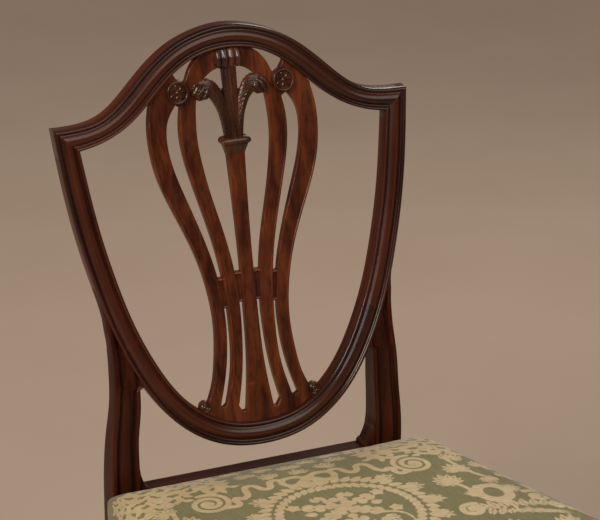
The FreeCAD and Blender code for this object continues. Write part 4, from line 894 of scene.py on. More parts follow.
def plume_head(name, centre, half_width, half_height, crown, flutes):
    """The feather's tip, curled forward over its stem: a fluted cushion with a scalloped lower edge."""
    rows, columns = 30, 64
    rings = []
    for a in np.linspace(-1, 1, columns):
        flute = abs(math.cos(math.pi * flutes * (a + 1) / 2))
        swell = 1.0 - 0.3 * flute ** 3
        end = math.sqrt(max(0.0, 1 - (0.985 * a) ** 4))
        front, depths = [], []
        for b in np.linspace(-1, 1, rows):
            height = half_height * (0.75 + 0.25 * end) * (1 - (0.16 * flute ** 2 if b > 0 else 0.05))
            drop = centre[1] + height * b * (0.35 + 0.65 * end)
            lift = crown * swell * end ** 0.6 * math.sqrt(max(0.0, 1 - abs(b) ** 2.0))
            roll = 0.35 * math.cos(2.2 * math.pi * b) * end * (1 - abs(b))
            front.append((centre[0] + half_width * a, drop))
            depths.append(SPLAT_RECESS + 0.8 - lift - roll)
        rings.append(closed_ring(front, depths, SPLAT_RECESS + 1.6))
    return rings_to_object(name, rings, CARVED_WOOD, sharp=60)


plumes = [feather("middle_feather", [(0, 133), (0, 110), (0, 80), (0, 40)],
                  [(0, 6.0), (0.35, 7.6), (0.7, 9.2), (1, 9.8)], [(0, 4.4), (0.5, 5.0), (1, 3.4)], 1.1, 24.0),
          plume_head("middle_tip", (0, 38.8), 17.4, 14.0, 8.4, 4)]
for side in (1, -1):
    spine = [(side * x, drop) for x, drop in
             ((5.8, 133), (7.5, 115), (10.5, 100), (15, 87), (21.5, 76.5), (29, 71), (37, 72), (42, 79))]
    plumes.append(feather(
        "side_feather", spine, [(0, 4.6), (0.35, 5.4), (0.6, 7.4), (0.8, 10.5), (0.93, 10.0), (1, 6.0)],
        [(0, 4.0), (0.5, 5.0), (0.85, 5.6), (1, 2.5)], 0.85, 22.0))
print("plumes:", sum(len(p.data.polygons) for p in plumes), "faces")

# %% [markdown]
# ## Rosettes and foot volutes
# Small rosettes are carved apart and glued on beside the arch. A carver divides the circle for the petals, so
# Geometry Nodes do the same: one petal, repeated round a circle. The raised rim and dished ground are turned work.

# %% Discs that stand on the back
def disc_on_back(name, x, drop, radius, height_at, material, rings=26, spokes=72, back=3.0, outline=None):
    """A carved disc: height_at(r, angle) is how far a place stands out from the board's front, in mm."""
    outline = outline or (lambda angle: 1.0)
    angles = np.linspace(0, 2 * math.pi, spokes, endpoint=False)
    circles = [(r, a, height_at(r, a)) for r in np.linspace(radius / rings, radius, rings) for a in angles]
    vertices, faces = [on_back(x, drop, SPLAT_RECESS - height_at(0.0, 0.0))], []
    for r, a, height in circles + [(radius, a, -back) for a in angles]:
        reach = r * outline(a)
        vertices.append(on_back(x + reach * math.cos(a), drop + reach * math.sin(a), SPLAT_RECESS - height))
    faces += [(0, 1 + k, 1 + (k + 1) % spokes) for k in range(spokes)]
    for i in range(rings):
        for k in range(spokes):
            n = (k + 1) % spokes
            faces.append((1 + i * spokes + k, 1 + i * spokes + n, 1 + (i + 1) * spokes + n, 1 + (i + 1) * spokes + k))
    faces.append([1 + rings * spokes + k for k in range(spokes)])
    made = object_from(name, vertices, faces, material)
    turn_outwards(made)
    shade(made, 60)
    return made


def rosette_ground(r, a):
    """Raised rim, dished ground and a small button."""
    rim = 5.2 - 0.5 * ((r - 12.2) / 1.4) ** 2 if r > 10.6 else 3.1
    rim = min(rim, 5.2 - max(0.0, (r - 12.9)) ** 2 * 3.0)
    button = 4.9 - 0.35 * r * r if r < 2.4 else 0.0
    return max(rim, 2.7 + 0.04 * r, button)


ROSETTE_X, ROSETTE_DROP, ROSETTE_RADIUS = 67.0, 71.4, 13.8


# %% Petals by Geometry Nodes
def petal_shape():
    """One petal pointing along X: a raised leaf with a groove down its middle, in metres."""
    vertices, faces = [], []
    for s in np.linspace(0, 1, 8):
        half = 2.35 * math.sin(math.pi * (0.16 + 0.72 * s)) * (0.55 + 0.45 * s)
        for v in (-1, -0.6, -0.15, 0, 0.15, 0.6, 1):
            lift = 1.9 * (1 - abs(v) ** 2.2) * math.sin(math.pi * (0.12 + 0.8 * s)) - (0.7 if v == 0 else 0.0)
            vertices.append(((2.4 + 7.6 * s) / 1000, half * v / 1000, (2.6 + lift) / 1000))
    for i in range(7):
        for j in range(6):
            faces.append((i * 7 + j, i * 7 + j + 7, i * 7 + j + 8, i * 7 + j + 1))
    return object_from("one_petal", vertices, faces, CARVED_WOOD)


def ring_of_petals(petal, petals, material):
    """A Geometry Nodes tree: a circle of points, a petal on each, turned to its place."""
    tree = bpy.data.node_groups.new("ring of petals", "GeometryNodeTree")
    tree.interface.new_socket("Geometry", in_out="INPUT", socket_type="NodeSocketGeometry")
    count = tree.interface.new_socket("Petals", in_out="INPUT", socket_type="NodeSocketInt")
    tree.interface.new_socket("Geometry", in_out="OUTPUT", socket_type="NodeSocketGeometry")
    given = add_node(tree, "NodeGroupInput")
    circle = add_node(tree, "GeometryNodeMeshCircle", Vertices=given.outputs["Petals"], Radius=0.0)
    index = add_node(tree, "GeometryNodeInputIndex")
    share = add_node(tree, "ShaderNodeMath", {"operation": "DIVIDE"}, _0=index.outputs[0], _1=given.outputs["Petals"])
    turn = add_node(tree, "ShaderNodeMath", {"operation": "MULTIPLY"}, _0=share.outputs[0], _1=2 * math.pi)
    angle = add_node(tree, "ShaderNodeCombineXYZ", Z=turn.outputs[0])
    shape = add_node(tree, "GeometryNodeObjectInfo", Object=petal)
    placed = add_node(tree, "GeometryNodeInstanceOnPoints", Points=circle.outputs[0],
                      Instance=shape.outputs["Geometry"], Rotation=angle.outputs[0])
    real = add_node(tree, "GeometryNodeRealizeInstances", Geometry=placed.outputs[0])
    finish = add_node(tree, "GeometryNodeSetMaterial", Geometry=real.outputs[0], Material=material)
    add_node(tree, "NodeGroupOutput", Geometry=finish.outputs[0])
    holder = object_from("petals", [(0, 0, 0)], [], None)
    modifier = holder.modifiers.new("petals", "NODES")
    modifier.node_group = tree
    modifier[count.identifier] = petals
    return finished_mesh(holder)


petal = petal_shape()
petals = ring_of_petals(petal, 7, CARVED_WOOD)
bpy.data.objects.remove(petal)
print("petals of one rosette:", len(petals.polygons), "faces")
for side, name in ((1, "right"), (-1, "left")):
    x0 = side * ROSETTE_X
    ground = disc_on_back("ground", x0, ROSETTE_DROP, ROSETTE_RADIUS, rosette_ground, CARVED_WOOD)
    leaves = into_scene(bpy.data.objects.new("leaves", petals.copy()))
    move_points(leaves.data, lambda x, y, z: on_back(x0 + x * 1000, ROSETTE_DROP - y * 1000, SPLAT_RECESS - z * 1000))
    shade(leaves, 60)
    rosette = join("rosette_carved_" + name, [ground, leaves])
    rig.ride(rosette, "root")
    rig.replaces(rosette, "rosette_" + name)
    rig.slot(rosette, "mahogany")


# %% Foot volutes
def volute(r, a, side):
    """A snail of wood where an outer rib lands on the shield."""
    groove = math.cos(2 * math.pi * r / 3.1 - side * a)
    return 0.4 + 1.6 * math.sqrt(max(0.0, 1 - (r / 7.4) ** 2)) + 0.6 * groove


def curled_tip(side):
    """Height and outline of a side feather's tip, which curls over in three fat lobes."""
    def across(r, a):
        return r * math.cos(a) * 0.82 * side - r * math.sin(a) * 0.57

    def height_at(r, a):
        q = across(r, a)
        dome = math.sqrt(max(0.0, 1 - (r / 12.3) ** 2.6))
        lobe = abs(math.cos(math.pi * (q + 1.5) / 7.2 + 0.35 * r * math.sin(a) / 12))
        return 0.3 + 7.6 * dome * (1 - 0.3 * lobe ** 5) - 0.3 * lobe ** 8

    def outline(a):
        return (1.0 + 0.05 * math.cos(6 * a + 0.6)) * (1.02 - 0.16 * abs(math.sin(a)))
    return height_at, outline


tips = []
for side in (1, -1):
    height_at, outline = curled_tip(side)
    tips.append(disc_on_back("curled_tip", side * 37.0, 74.5, 12.2, height_at, CARVED_WOOD, 30, 90, 3.0, outline))
volutes = [disc_on_back("volute", side * 70.5, 440.0, 7.2, lambda r, a: volute(r, a, side), CARVED_WOOD, 20, 48, 5.0)
           for side in (1, -1)]
carving = join("splat_carving", [collar] + plumes + tips + volutes)
bridge_piece = join("waist_bridges_and_beads", bridges + beads)
for piece in (carving, bridge_piece):
    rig.ride(piece, "root")
    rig.replaces(piece, "splat")
    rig.slot(piece, "mahogany")
print("carving:", len(carving.data.polygons), "faces")

# %% [markdown]
# ## The damask seat
# The real seat is horsehair pulled tight under a silk and cotton damask, nailed under the rails. Its top is a low dome
# that falls softest at the rear. It could be a subdivided block, but a block has no memory of the frame below. Here it
# is drawn as level outlines from hem to crown, like the lines of a boat, and the outlines are joined into one cover.

# %% Level outlines of the seat
SEAT_LINES = [  # height, inset from the frame, rear edge, front corner radius, rear corner radius, in millimetres
    (368.2, -1.8, 155.7, 6, 3), (386, -5.2, 155.7, 12, 3), (412, -8, 155.7, 18, 4), (432, -7.6, 155.7, 22, 6),
    (441, -6, 138.7, 25, 14), (452, -2.4, 117.7, 28, 26), (458, 3.2, 105.7, 30, 34), (463, 12.8, 91.7, 32, 40),
    (466.5, 33.6, 73.7, 36, 44), (470.5, 72, 51.7, 40, 46), (473, 128, 25.7, 40, 46), (474, 168, 3.7, 30, 34)]
SPLAY = 0.23693  # how fast the seat widens to the front
SIDE_SLANT = 1.0277  # how much longer its side is for that
SEAT_FRONT = -250.0
CROWN_TOP = 474.6


def frame_half(y):
    """Half the width of the seat frame at a depth."""
    return POST_OUT + (POST_FRONT - y) * SPLAY


def seat_outline(z, inset, rear, front_round, rear_round, counts=(250, 190, 170), arc=22):
    """Points round the seat at one height, starting at the front left and going right."""
    near = SEAT_FRONT + inset
    side = [frame_half(y) - inset * SIDE_SLANT for y in (near, rear)]
    corners = [np.array(c) for c in ((-side[0], near), (side[0], near), (side[1], rear), (-side[1], rear))]
    radii = [front_round, front_round, rear_round, rear_round]
    points, arcs, edges = [], [], (counts[0], counts[1], counts[2], counts[1])
    for k in range(4):
        here, before, after = corners[k], corners[k - 1], corners[(k + 1) % 4]
        to_before = (before - here) / np.linalg.norm(before - here)
        to_after = (after - here) / np.linalg.norm(after - here)
        half = 0.5 * math.acos(float(np.clip(to_before @ to_after, -1, 1)))
        middle = here + (to_before + to_after) / np.linalg.norm(to_before + to_after) * radii[k] / math.sin(half)
        start = here + to_before * radii[k] / math.tan(half) - middle
        angle = math.atan2(start[1], start[0])
        swing = math.pi - 2 * half
        arcs.append([middle + radii[k] * np.array([math.cos(angle + swing * t), math.sin(angle + swing * t)])
                     for t in np.linspace(0, 1, arc)])
    for k in range(4):
        points += arcs[k]
        first, last = arcs[k][-1], arcs[(k + 1) % 4][0]
        points += [first + (last - first) * t for t in np.linspace(0, 1, edges[k] + 2)[1:-1]]
    return np.column_stack([np.asarray(points), np.full(len(points), z)])


def close_lines(lines, spacing, passes):
    """Many lines between the drawn ones, eased so that no ridge shows where they change."""
    table = np.asarray(lines, float)
    reach = np.linalg.norm(np.diff(table[:, :3], axis=0) * [1, 1, 0.5], axis=1)
    steps = np.concatenate([[0.0], np.cumsum(reach)])
    where = np.linspace(0, steps[-1], int(steps[-1] / spacing))
    fine = np.stack([np.interp(where, steps, table[:, k]) for k in range(table.shape[1])], axis=1)
    for _ in range(passes):
        fine[1:-1] = (fine[:-2] + 2 * fine[1:-1] + fine[2:]) / 4
    return fine


seat_lines = close_lines(SEAT_LINES, 1.7, 40)
HEM = 15.0
BOTTOM = SEAT_LINES[0][0]
hem_rings = [seat_outline(BOTTOM, inset, 145.9 - inset, 4, 3) for inset in np.linspace(HEM, -1.0, 6)]
rings = hem_rings + [seat_outline(*line) for line in seat_lines]
top = rings[-1]
middle_of_seat = np.array([0.0, -35.0, CROWN_TOP])
for share in np.linspace(1, 0, 56)[1:-1]:
    ring = middle_of_seat + (top - middle_of_seat) * share
    ring[:, 2] = CROWN_TOP - 0.6 * share ** 2
    rings.append(ring)
rings = np.asarray(rings)
# The cover stops just before the posts, and just before the rear rail below its rebate
BETWEEN_POSTS = 141.0
low = rings[:, :, 2] < RAIL_TOP
blocked = low & ((np.abs(rings[:, :, 0]) > BETWEEN_POSTS) | (rings[:, :, 2] < 420))
rings[:, :, 1] = np.where(blocked, np.minimum(rings[:, :, 1], POST_FRONT - 0.3), rings[:, :, 1])
print("seat lines:", rings.shape[0], "of", rings.shape[1], "points")


# %% Cloth lengths over the seat
DOME_EDGE = 462.0  # height at which the top turns down into the walls


def cloth_coordinates(rings):
    """Where each point lies on the flat cloth: as in plan on top, unrolled past the edge of the dome."""
    cloth = rings[:, :, :2].copy()
    dome_edge = int(np.argmax(rings[:, 0, 2] > DOME_EDGE))
    outwards = rings[dome_edge, :, :2] - rings[dome_edge + 12, :, :2]
    outwards /= np.maximum(np.linalg.norm(outwards, axis=1), 1e-6)[:, None]
    for i in range(dome_edge - 1, -1, -1):
        cloth[i] = cloth[i + 1] + outwards * np.linalg.norm(rings[i] - rings[i + 1], axis=1)[:, None]
    return cloth


cloth = cloth_coordinates(rings)
print("cloth, flat, in mm:", np.ptp(cloth.reshape(-1, 2), axis=0).round())

# %% [markdown]
# ## The damask's drawing
# Damask is one warp and one weft: the figure is satin, the ground is its back. So the figure has crisp edges and one
# colour, and only the way it takes the light differs. It is drawn here with leaves, ribbons, rings and snails in
# cloth millimetres, mirrored about the middle. Each point of the cover stores how far it is from the nearest edge of
# the figure, and the material cuts that distance sharply.

# %% Marks of the figure
def leaf_marks(x, y, angle, length, half, veins=True):
    """Distance to a pointed leaf that starts at (x, y); less than nothing is inside."""
    c, s = math.cos(math.radians(angle)), math.sin(math.radians(angle))

    def distance(p):
        along = (p[:, 0] - x) * c + (p[:, 1] - y) * s
        across = -(p[:, 0] - x) * s + (p[:, 1] - y) * c
        t = np.clip(along / length, 0, 1)
        edge = half * np.sin(np.pi * t ** 0.75) ** 0.8
        d = np.abs(across) - edge
        d = np.maximum(d, np.maximum(-along, along - length))
        if veins:
            d = np.maximum(d, 0.8 - np.abs(across) - 2.5 * (t > 0.8) - 2.5 * (t < 0.1))
        return d
    return (x + c * length / 2, y + s * length / 2, length * 0.6 + half), distance


def ribbon_marks(points, half, taper=0.0):
    """Distance to a ribbon through drawn points."""
    line = smooth_curve(points, 2.0)
    reach = np.abs(line - line.mean(axis=0)).max() * 1.5 + half

    def distance(p):
        gaps = np.linalg.norm(p[:, None, :] - line[None, :, :], axis=2)
        nearest = gaps.argmin(axis=1) / len(line)
        return gaps.min(axis=1) - half * (1 - taper * nearest)
    return (*line.mean(axis=0), reach), distance


def ring_marks(x, y, radius, half, squash=1.0):
    """Distance to a ring; squash makes it taller than wide."""
    def distance(p):
        return np.abs(np.hypot(p[:, 0] - x, (p[:, 1] - y) / squash) - radius) - half
    return (x, y, radius + half + 2), distance


def dot_marks(x, y, radius):
    """Distance to a round dot."""
    return (x, y, radius + 2), lambda p: np.hypot(p[:, 0] - x, p[:, 1] - y) - radius


def snail_points(x, y, start, turns, outer, inner, turn=1):
    """A spiral from its outside to its eye."""
    points = []
    for t in np.linspace(0, 1, int(turns * 12) + 1):
        reach, angle = outer + (inner - outer) * t, math.radians(start + turn * 360 * turns * t)
        points.append((x + reach * math.cos(angle), y + reach * math.sin(angle)))
    return points


def spray(x, y, angle, spread, count, length, half):
    """Leaves fanning out from one place, longest in the middle."""
    marks = []
    for k in range(count):
        t = k / (count - 1) - 0.5
        marks.append(leaf_marks(x, y, angle + spread * t, length * (1 - 0.35 * abs(t) * 2), half))
    return marks


# %% The right half of the figure
SNAIL, WREATH_CENTRE, WREATH_HALF, FLOWERS_Y = (128, 5), (0.0, -90.0), (86.0, 84.0), -72
RIBBONS = [  # half width, then points: the bow, its knot, and the waving end
    (4.2, [(0, 19), (9, 27), (20, 30), (30, 25), (32, 15), (26, 7), (16, 8), (8, 15), (0, 19)]),
    (3.8, [(0, 18), (7, 8), (5, -4)]),
    (4.0, [(30, 27), (38, 31), (45, 25), (48, 15), (54, 10), (61, 15), (64, 24), (71, 28), (77, 22), (79, 12),
           (83, 2), (90, -1), (96, 3), (99, 0), (98, -9), (103, -16), (109, -14)]),
    # Snails, at the side and near the front, and the stem of the first
    (3.3, snail_points(*SNAIL, 80, 2.0, 25, 5)), (3.8, snail_points(130, -136, 60, 1.3, 16, 3)),
    (4.0, snail_points(218, -124, 120, 1.2, 17, 3, -1)), (3.6, [(128, 30), (113, 30), (103, 38), (99, 50), (90, 60)]),
    # Stems outside the wreath
    (3.0, [(146, -66), (152, -86), (148, -104)]), (3.0, [(172, 4), (176, -22), (186, -50), (198, -66)]),
]
DOTS = [(0, 19, 8.5), (112, -13, 5.0), (*SNAIL, 6.0), (0, FLOWERS_Y, 3.8), (130, -136, 5.0), (218, -124, 5.2)]
SPRAYS = [  # place, heading, spread, number of leaves, their length and half width
    # Small leaves behind the bow
    (0, 38, 90, 130, 5, 22, 4.2), (32, 42, 60, 130, 6, 24, 4.2), (2, 66, 90, 170, 7, 22, 4.0),
    (56, 62, 80, 180, 7, 22, 4.2), (27, 80, 70, 210, 7, 20, 4.0), (64, 92, 90, 200, 7, 22, 4.2),
    # Under the flowers
    (32, -112, -60, 130, 6, 22, 4.2), (6, -134, -90, 160, 7, 22, 4.2),
    # Outside the wreath
    (142, -60, 100, 210, 9, 26, 4.9), (140, -58, 300, 120, 5, 18, 4), (168, -32, 85, 190, 8, 26, 4.6),
    (178, 6, 60, 200, 8, 22, 4.4), (202, -24, 55, 200, 8, 24, 4.4), (216, -58, 60, 190, 8, 22, 4.4),
    (188, -62, -70, 200, 7, 18, 4), (174, -126, 270, 150, 6, 14, 3.7), (196, -96, 0, 190, 7, 18, 4),
    (152, -98, 180, 160, 6, 14, 3.6), (226, -92, 20, 200, 7, 21, 4.1),
    # Near the front
    (236, -160, 60, 190, 8, 27, 4.9), (150, -196, 80, 190, 9, 27, 4.9), (96, -196, 80, 190, 9, 26, 4.7),
    (212, -206, 60, 210, 9, 29, 5), (48, -210, 90, 190, 9, 24, 4.6), (0, -212, 90, 190, 9, 26, 4.7),
]
for k in range(9):
    # Rows over the front edge and down its wall, then over the side edge and down its wall
    SPRAYS += [(18 + 30 * k, -246, 90, 180, 6, 21, 4.1), (4 + 30 * k, -282, 90, 180, 6, 21, 4.1),
               (252 + 4 * (k % 2), -240 + 34 * k, 20, 180, 6, 21, 4.1), (290, -262 + 34 * k, 10, 180, 6, 21, 4.1)]
    for row in range(2):
        SPRAYS += [(12 + 30 * k - 9 * row, -312 - 30 * row, 90, 170, 5, 22, 4.6),
                   (318 + 28 * row, -258 + 34 * k - 12 * row, 10, 170, 5, 22, 4.6)]
figure = [ribbon_marks(points, half) for half, points in RIBBONS]
figure += [ribbon_marks([(36, -100), (50, -106), (58, -118), (58, -136)], 2.6, 0.5),
           ring_marks(174, -102, 17, 5.8, 1.3)]
figure += [dot_marks(*row) for row in DOTS] + [leaf for row in SPRAYS for leaf in spray(*row)]
# Leaves that run from the snail back to the corner
for row in range(7):
    for k in range(13):
        x, y = 90 + 12 * k + 6 * (row % 2), 36 + 13.5 * row - 1.6 * k
        heading = 70 - 9 * k + 55 * ((row + k) % 2) + 30 * math.sin(2.1 * row + 1.3 * k)
        if math.hypot(x - SNAIL[0], y - SNAIL[1]) > 27:
            figure += [leaf_marks(x, y, heading, 17, 4.4, False), leaf_marks(x, y, heading + 110, 13, 3.8, False)]
# Laurel wreath, two rows of leaves with the stem between, and sprays on its outside
for k in range(27):
    a = math.radians(92 - 7.2 * k)
    x, y = WREATH_CENTRE[0] + WREATH_HALF[0] * math.cos(a), WREATH_CENTRE[1] + WREATH_HALF[1] * math.sin(a)
    heading = math.degrees(a) - 90
    figure += [leaf_marks(x + 1.6 * math.cos(a), y + 1.6 * math.sin(a), heading + 56, 18, 5.0, False),
               leaf_marks(x - 1.6 * math.cos(a), y - 1.6 * math.sin(a), heading - 52, 15, 4.4, False)]
for k in range(5):
    a = math.radians(44 - 22 * k)
    figure += spray(WREATH_CENTRE[0] + 99 * math.cos(a), WREATH_CENTRE[1] + 97 * math.sin(a),
                    math.degrees(a) - 25, 120, 5, 21, 4.3)
# Flowers inside the wreath: rings of petals, and three small blooms
for radius, count, length, half, turned in ((2, 5, 11, 5.8, 0), (10, 8, 13, 6.4, 20), (21, 12, 14, 6.0, 5),
                                            (34, 17, 15, 5.4, 12)):
    for k in range(count):
        a = math.radians(360 / count * k + turned)
        figure.append(leaf_marks(radius * math.cos(a), FLOWERS_Y + 0.84 * radius * math.sin(a),
                                 math.degrees(a) + 24 - 48 * (k % 2), length, half, False))
for x, y in ((52, -52), (54, -96), (16, -122)):
    figure += [leaf_marks(x, y, 72 * k + 10, 9, 3.8, False) for k in range(5)]
# Two rows of long leaves between the wreath and the front
for k in range(8):
    figure.append(leaf_marks(148 + 10 * k, -142 - 2 * k, 112 - 9 * k, 24, 5.2))
    figure.append(leaf_marks(142 + 10 * k, -156 - 2 * k, 60 - 12 * k, 22, 4.7))
print("marks in the figure:", len(figure))


# %% Distance to the figure
HAND_LAID = -2.0  # the cloth was cut by eye, a little off the middle
FAR = 6.0  # plain ground, as far as the material asks


def figure_distance(points):
    """Signed distance in mm at cloth places, mirrored about the middle."""
    places = np.column_stack([np.abs(points[:, 0] - HAND_LAID), points[:, 1]])
    best = np.full(len(places), FAR)
    for (x, y, reach), distance in figure:
        near = np.where((np.abs(places[:, 0] - x) < reach) & (np.abs(places[:, 1] - y) < reach))[0]
        if len(near):
            best[near] = np.minimum(best[near], distance(places[near]))
    return best


distances = figure_distance(cloth.reshape(-1, 2))
print("figure covers %.0f %% of the cloth" % (100 * np.mean(distances < 0)))


# %% Cover as one cloth
def closed_net(lines):
    """Points and faces of closed lines joined up, with the middle of the seat as the last point."""
    count, size = lines.shape[:2]
    here = np.arange(count * size).reshape(count, size)
    right = np.roll(here, -1, axis=1)
    quads = np.stack([here[:-1], right[:-1], right[1:], here[1:]], axis=-1).reshape(-1, 4)
    fan = np.stack([here[-1], right[-1], np.full(size, count * size)], axis=-1)
    return np.vstack([lines.reshape(-1, 3), [middle_of_seat]]), quads, fan


def cut_cover(vertices, quads):
    """The faces that are left when the cloth is cut out at the rear rail and round the legs."""
    x, y, z = vertices[quads].mean(axis=1).T
    between = np.abs(x) < BETWEEN_POSTS
    hem = z < BOTTOM + 0.2
    gone = between & (y > 146.5) & (z < 419.5)
    gone |= hem & between & (y > 128)
    gone |= hem & (np.abs(x) > 244) & (y < -211)
    return quads[~gone]


vertices, quads, fan = closed_net(rings)
quads = cut_cover(vertices, quads)
cover = object_from("damask_seat", vertices / 1000, quads.tolist() + fan.tolist(), None)
field = cover.data.attributes.new("figure", "FLOAT", "POINT")
IN_THE_GROUND = 2.0
field.data.foreach_set("value", np.append(distances, IN_THE_GROUND).astype(np.float32))
flat_cloth = np.zeros((len(vertices), 3), np.float32)
flat_cloth[:-1, :2] = cloth.reshape(-1, 2) / 1000
place = cover.data.attributes.new("cloth", "FLOAT_VECTOR", "POINT")
place.data.foreach_set("vector", flat_cloth.ravel())
print("cover:", len(cover.data.polygons), "faces")

# %% [markdown]
# ## Stuffing pushes the cloth
# Blender's cloth swells the cover from inside while its hem stays nailed. It runs on every fourth line of the cover,
# which is quick, and the push it finds is then spread over the fine lines. No point moves more than a few millimetres.

# %% Cloth simulation of the cover
PUSH_LIMIT = 3.0
STEP = 4


def stuffed_push(frames=20, pressure=3.0):
    """How far each point of a coarse cover moves when it is stuffed, in mm."""
    picked = list(range(0, len(rings), STEP))
    coarse = rings[picked][:, ::STEP]
    start, quads, fan = closed_net(coarse)
    trial = object_from("trial_cover", start / 1000, quads.tolist() + fan.tolist(), None)
    nailed = trial.vertex_groups.new(name="nailed")
    held = np.clip((446 - start[:, 2]) / 16, 0, 1)
    for index in np.where(held > 0)[0]:
        nailed.add([int(index)], float(held[index]), "ADD")
    modifier = trial.modifiers.new("stuffing", "CLOTH")
    modifier.settings.vertex_group_mass = "nailed"
    modifier.settings.use_pressure = True
    modifier.settings.uniform_pressure_force = pressure
    modifier.settings.tension_stiffness = modifier.settings.compression_stiffness = 40
    modifier.settings.bending_stiffness = 4
    modifier.settings.effector_weights.gravity = 0
    modifier.point_cache.frame_start, modifier.point_cache.frame_end = 1, frames
    for frame_number in range(1, frames + 1):
        bpy.context.scene.frame_set(frame_number)
    shaped = trial.evaluated_get(bpy.context.evaluated_depsgraph_get()).to_mesh()
    coords = np.empty(len(start) * 3)
    shaped.vertices.foreach_get("co", coords)
    trial.modifiers.remove(modifier)
    bpy.data.objects.remove(trial)
    bpy.context.scene.frame_set(1)
    moved = coords.reshape(-1, 3)[:-1] * 1000 - start[:-1]
    length = np.linalg.norm(moved, axis=1)[:, None]
    moved *= np.minimum(1.0, PUSH_LIMIT / np.maximum(length, 1e-6))
    return picked, moved.reshape(coarse.shape)


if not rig.quick():
    picked, push = stuffed_push()
    print("largest push in mm: %.2f" % np.abs(push).max())
    along = np.arange(len(rings))
    around = np.arange(rings.shape[1])
    knots_around = np.append(np.arange(0, rings.shape[1], STEP), rings.shape[1])
    spread = np.zeros(rings.shape)
    for axis in range(3):
        rows = np.stack([np.interp(around, knots_around, np.append(row, row[0])) for row in push[:, :, axis]])
        spread[:, :, axis] = np.stack([np.interp(along, picked, rows[:, k]) for k in around], axis=1)
    spread *= np.clip((rings[:, :, 2:3] - 430) / 20, 0, 1)
    spread[len(rings) - 6:] *= np.linspace(1, 0.9, 6)[:, None, None]
    stuffed = vertices.copy()
    stuffed[:-1] += spread.reshape(-1, 3)
    stuffed[-1] += spread[-1].mean(axis=0)
    cover.data.vertices.foreach_set("co", (stuffed / 1000).ravel())
    cover.data.update()

# %% [markdown]
# ## Silk and cotton damask
# The figure is a cream satin that shines a little, the ground a matt sage. Both fade and yellow with light. The threads
# are about 0.3 mm apart, too fine for this picture, so they are drawn about 1 mm apart, and deeper in the ground.

# %% Damask
def damask():
    """Woven silk and cotton: a satin figure on a matt ground, told apart by the cover's own attribute."""
    material, tree = new_material("silk and cotton damask, woven")
    cloth_place = add_node(tree, "ShaderNodeAttribute", {"attribute_name": "cloth"})
    edge = add_node(tree, "ShaderNodeAttribute", {"attribute_name": "figure"})
    fray = add_node(tree, "ShaderNodeTexNoise", Vector=cloth_place.outputs["Vector"], Scale=420.0, Detail=2.0)
    uneven = add_node(tree, "ShaderNodeMath", {"operation": "MULTIPLY_ADD"}, _0=fray.outputs["Fac"], _1=1.6, _2=-0.8)
    edge_there = add_node(tree, "ShaderNodeMath", {"operation": "ADD"}, _0=edge.outputs["Fac"], _1=uneven.outputs[0])
    figure_here = add_node(tree, "ShaderNodeMapRange", Value=edge_there.outputs[0], From_Min=0.45, From_Max=-0.45,
                           To_Min=0.0, To_Max=1.0)
    # Warp threads run front to back, weft threads side to side
    warp = streaks(tree, cloth_place.outputs["Vector"], (900.0, 40.0, 1.0), Detail=2.0)
    weft = streaks(tree, cloth_place.outputs["Vector"], (60.0, 700.0, 1.0), Detail=2.0)
    ground = add_node(tree, "ShaderNodeValToRGB", {"stops": ((0.3, "#7D7B55"), (0.7, "#97946C"))},
                      Fac=warp.outputs["Fac"])
    satin = add_node(tree, "ShaderNodeValToRGB", {"stops": ((0.3, "#C9B284"), (0.7, "#EBDAB0"))},
                     Fac=weft.outputs["Fac"])
    woven = add_node(tree, "ShaderNodeMix", {"data_type": "RGBA"},
                     _0=figure_here.outputs[0], _6=ground.outputs["Color"], _7=satin.outputs["Color"])
    fading = add_node(tree, "ShaderNodeTexNoise", Vector=cloth_place.outputs["Vector"], Scale=9.0, Detail=3.0)
    age_tones = ((0.3, (0.9, 0.88, 0.84, 1)), (0.7, (1.06, 1.05, 1.03, 1)))
    faded = add_node(tree, "ShaderNodeValToRGB", {"stops": age_tones}, Fac=fading.outputs["Fac"])
    aged = add_node(tree, "ShaderNodeMix", {"data_type": "RGBA", "blend_type": "MULTIPLY"},
                    _0=1.0, _6=woven.outputs[2], _7=faded.outputs["Color"])
    ribs = add_node(tree, "ShaderNodeMix", {"data_type": "FLOAT"}, _0=figure_here.outputs[0],
                    _2=warp.outputs["Fac"], _3=weft.outputs["Fac"])
    raised = add_node(tree, "ShaderNodeMath", {"operation": "MULTIPLY_ADD"}, _0=figure_here.outputs[0], _1=0.6,
                      _2=ribs.outputs[0])
    bump = add_node(tree, "ShaderNodeBump", Strength=0.35, Distance=0.0003, Height=raised.outputs[0])
    shine = add_node(tree, "ShaderNodeMapRange", Value=figure_here.outputs[0], From_Min=0.0, From_Max=1.0,
                     To_Min=0.85, To_Max=0.52)
    shader = add_node(tree, "ShaderNodeBsdfPrincipled", Base_Color=aged.outputs[2], Roughness=shine.outputs[0],
                      Normal=bump.outputs[0], Sheen_Weight=0.25, Sheen_Roughness=0.4, IOR=1.45)
    surface(tree, shader)
    return material


CLOTH_THICKNESS = 0.0015  # the damask and its lining, in metres
cover.data.materials.append(damask())
turn_outwards(cover)
wall = cover.modifiers.new("cloth", "SOLIDIFY")
wall.thickness = CLOTH_THICKNESS
wall.offset = -1.0
with bpy.context.temp_override(object=cover, active_object=cover):
    bpy.ops.object.modifier_apply(modifier=wall.name)
cover.data.shade_smooth()
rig.ride(cover, "root")
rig.replaces(cover, "seat_cover", "seat_stuffing")
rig.slot(cover, "damask")
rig.padded(cover, fill=0.8)
print("damask seat:", len(cover.data.polygons), "faces")

# %% [markdown]
# ## Cloth under the seat
# Black linen closes the seat from below and keeps the horsehair dust in. It is tacked all round and sags a little
# between the tacks. A grid with the sag worked out is enough, because the cloth is nearly flat.

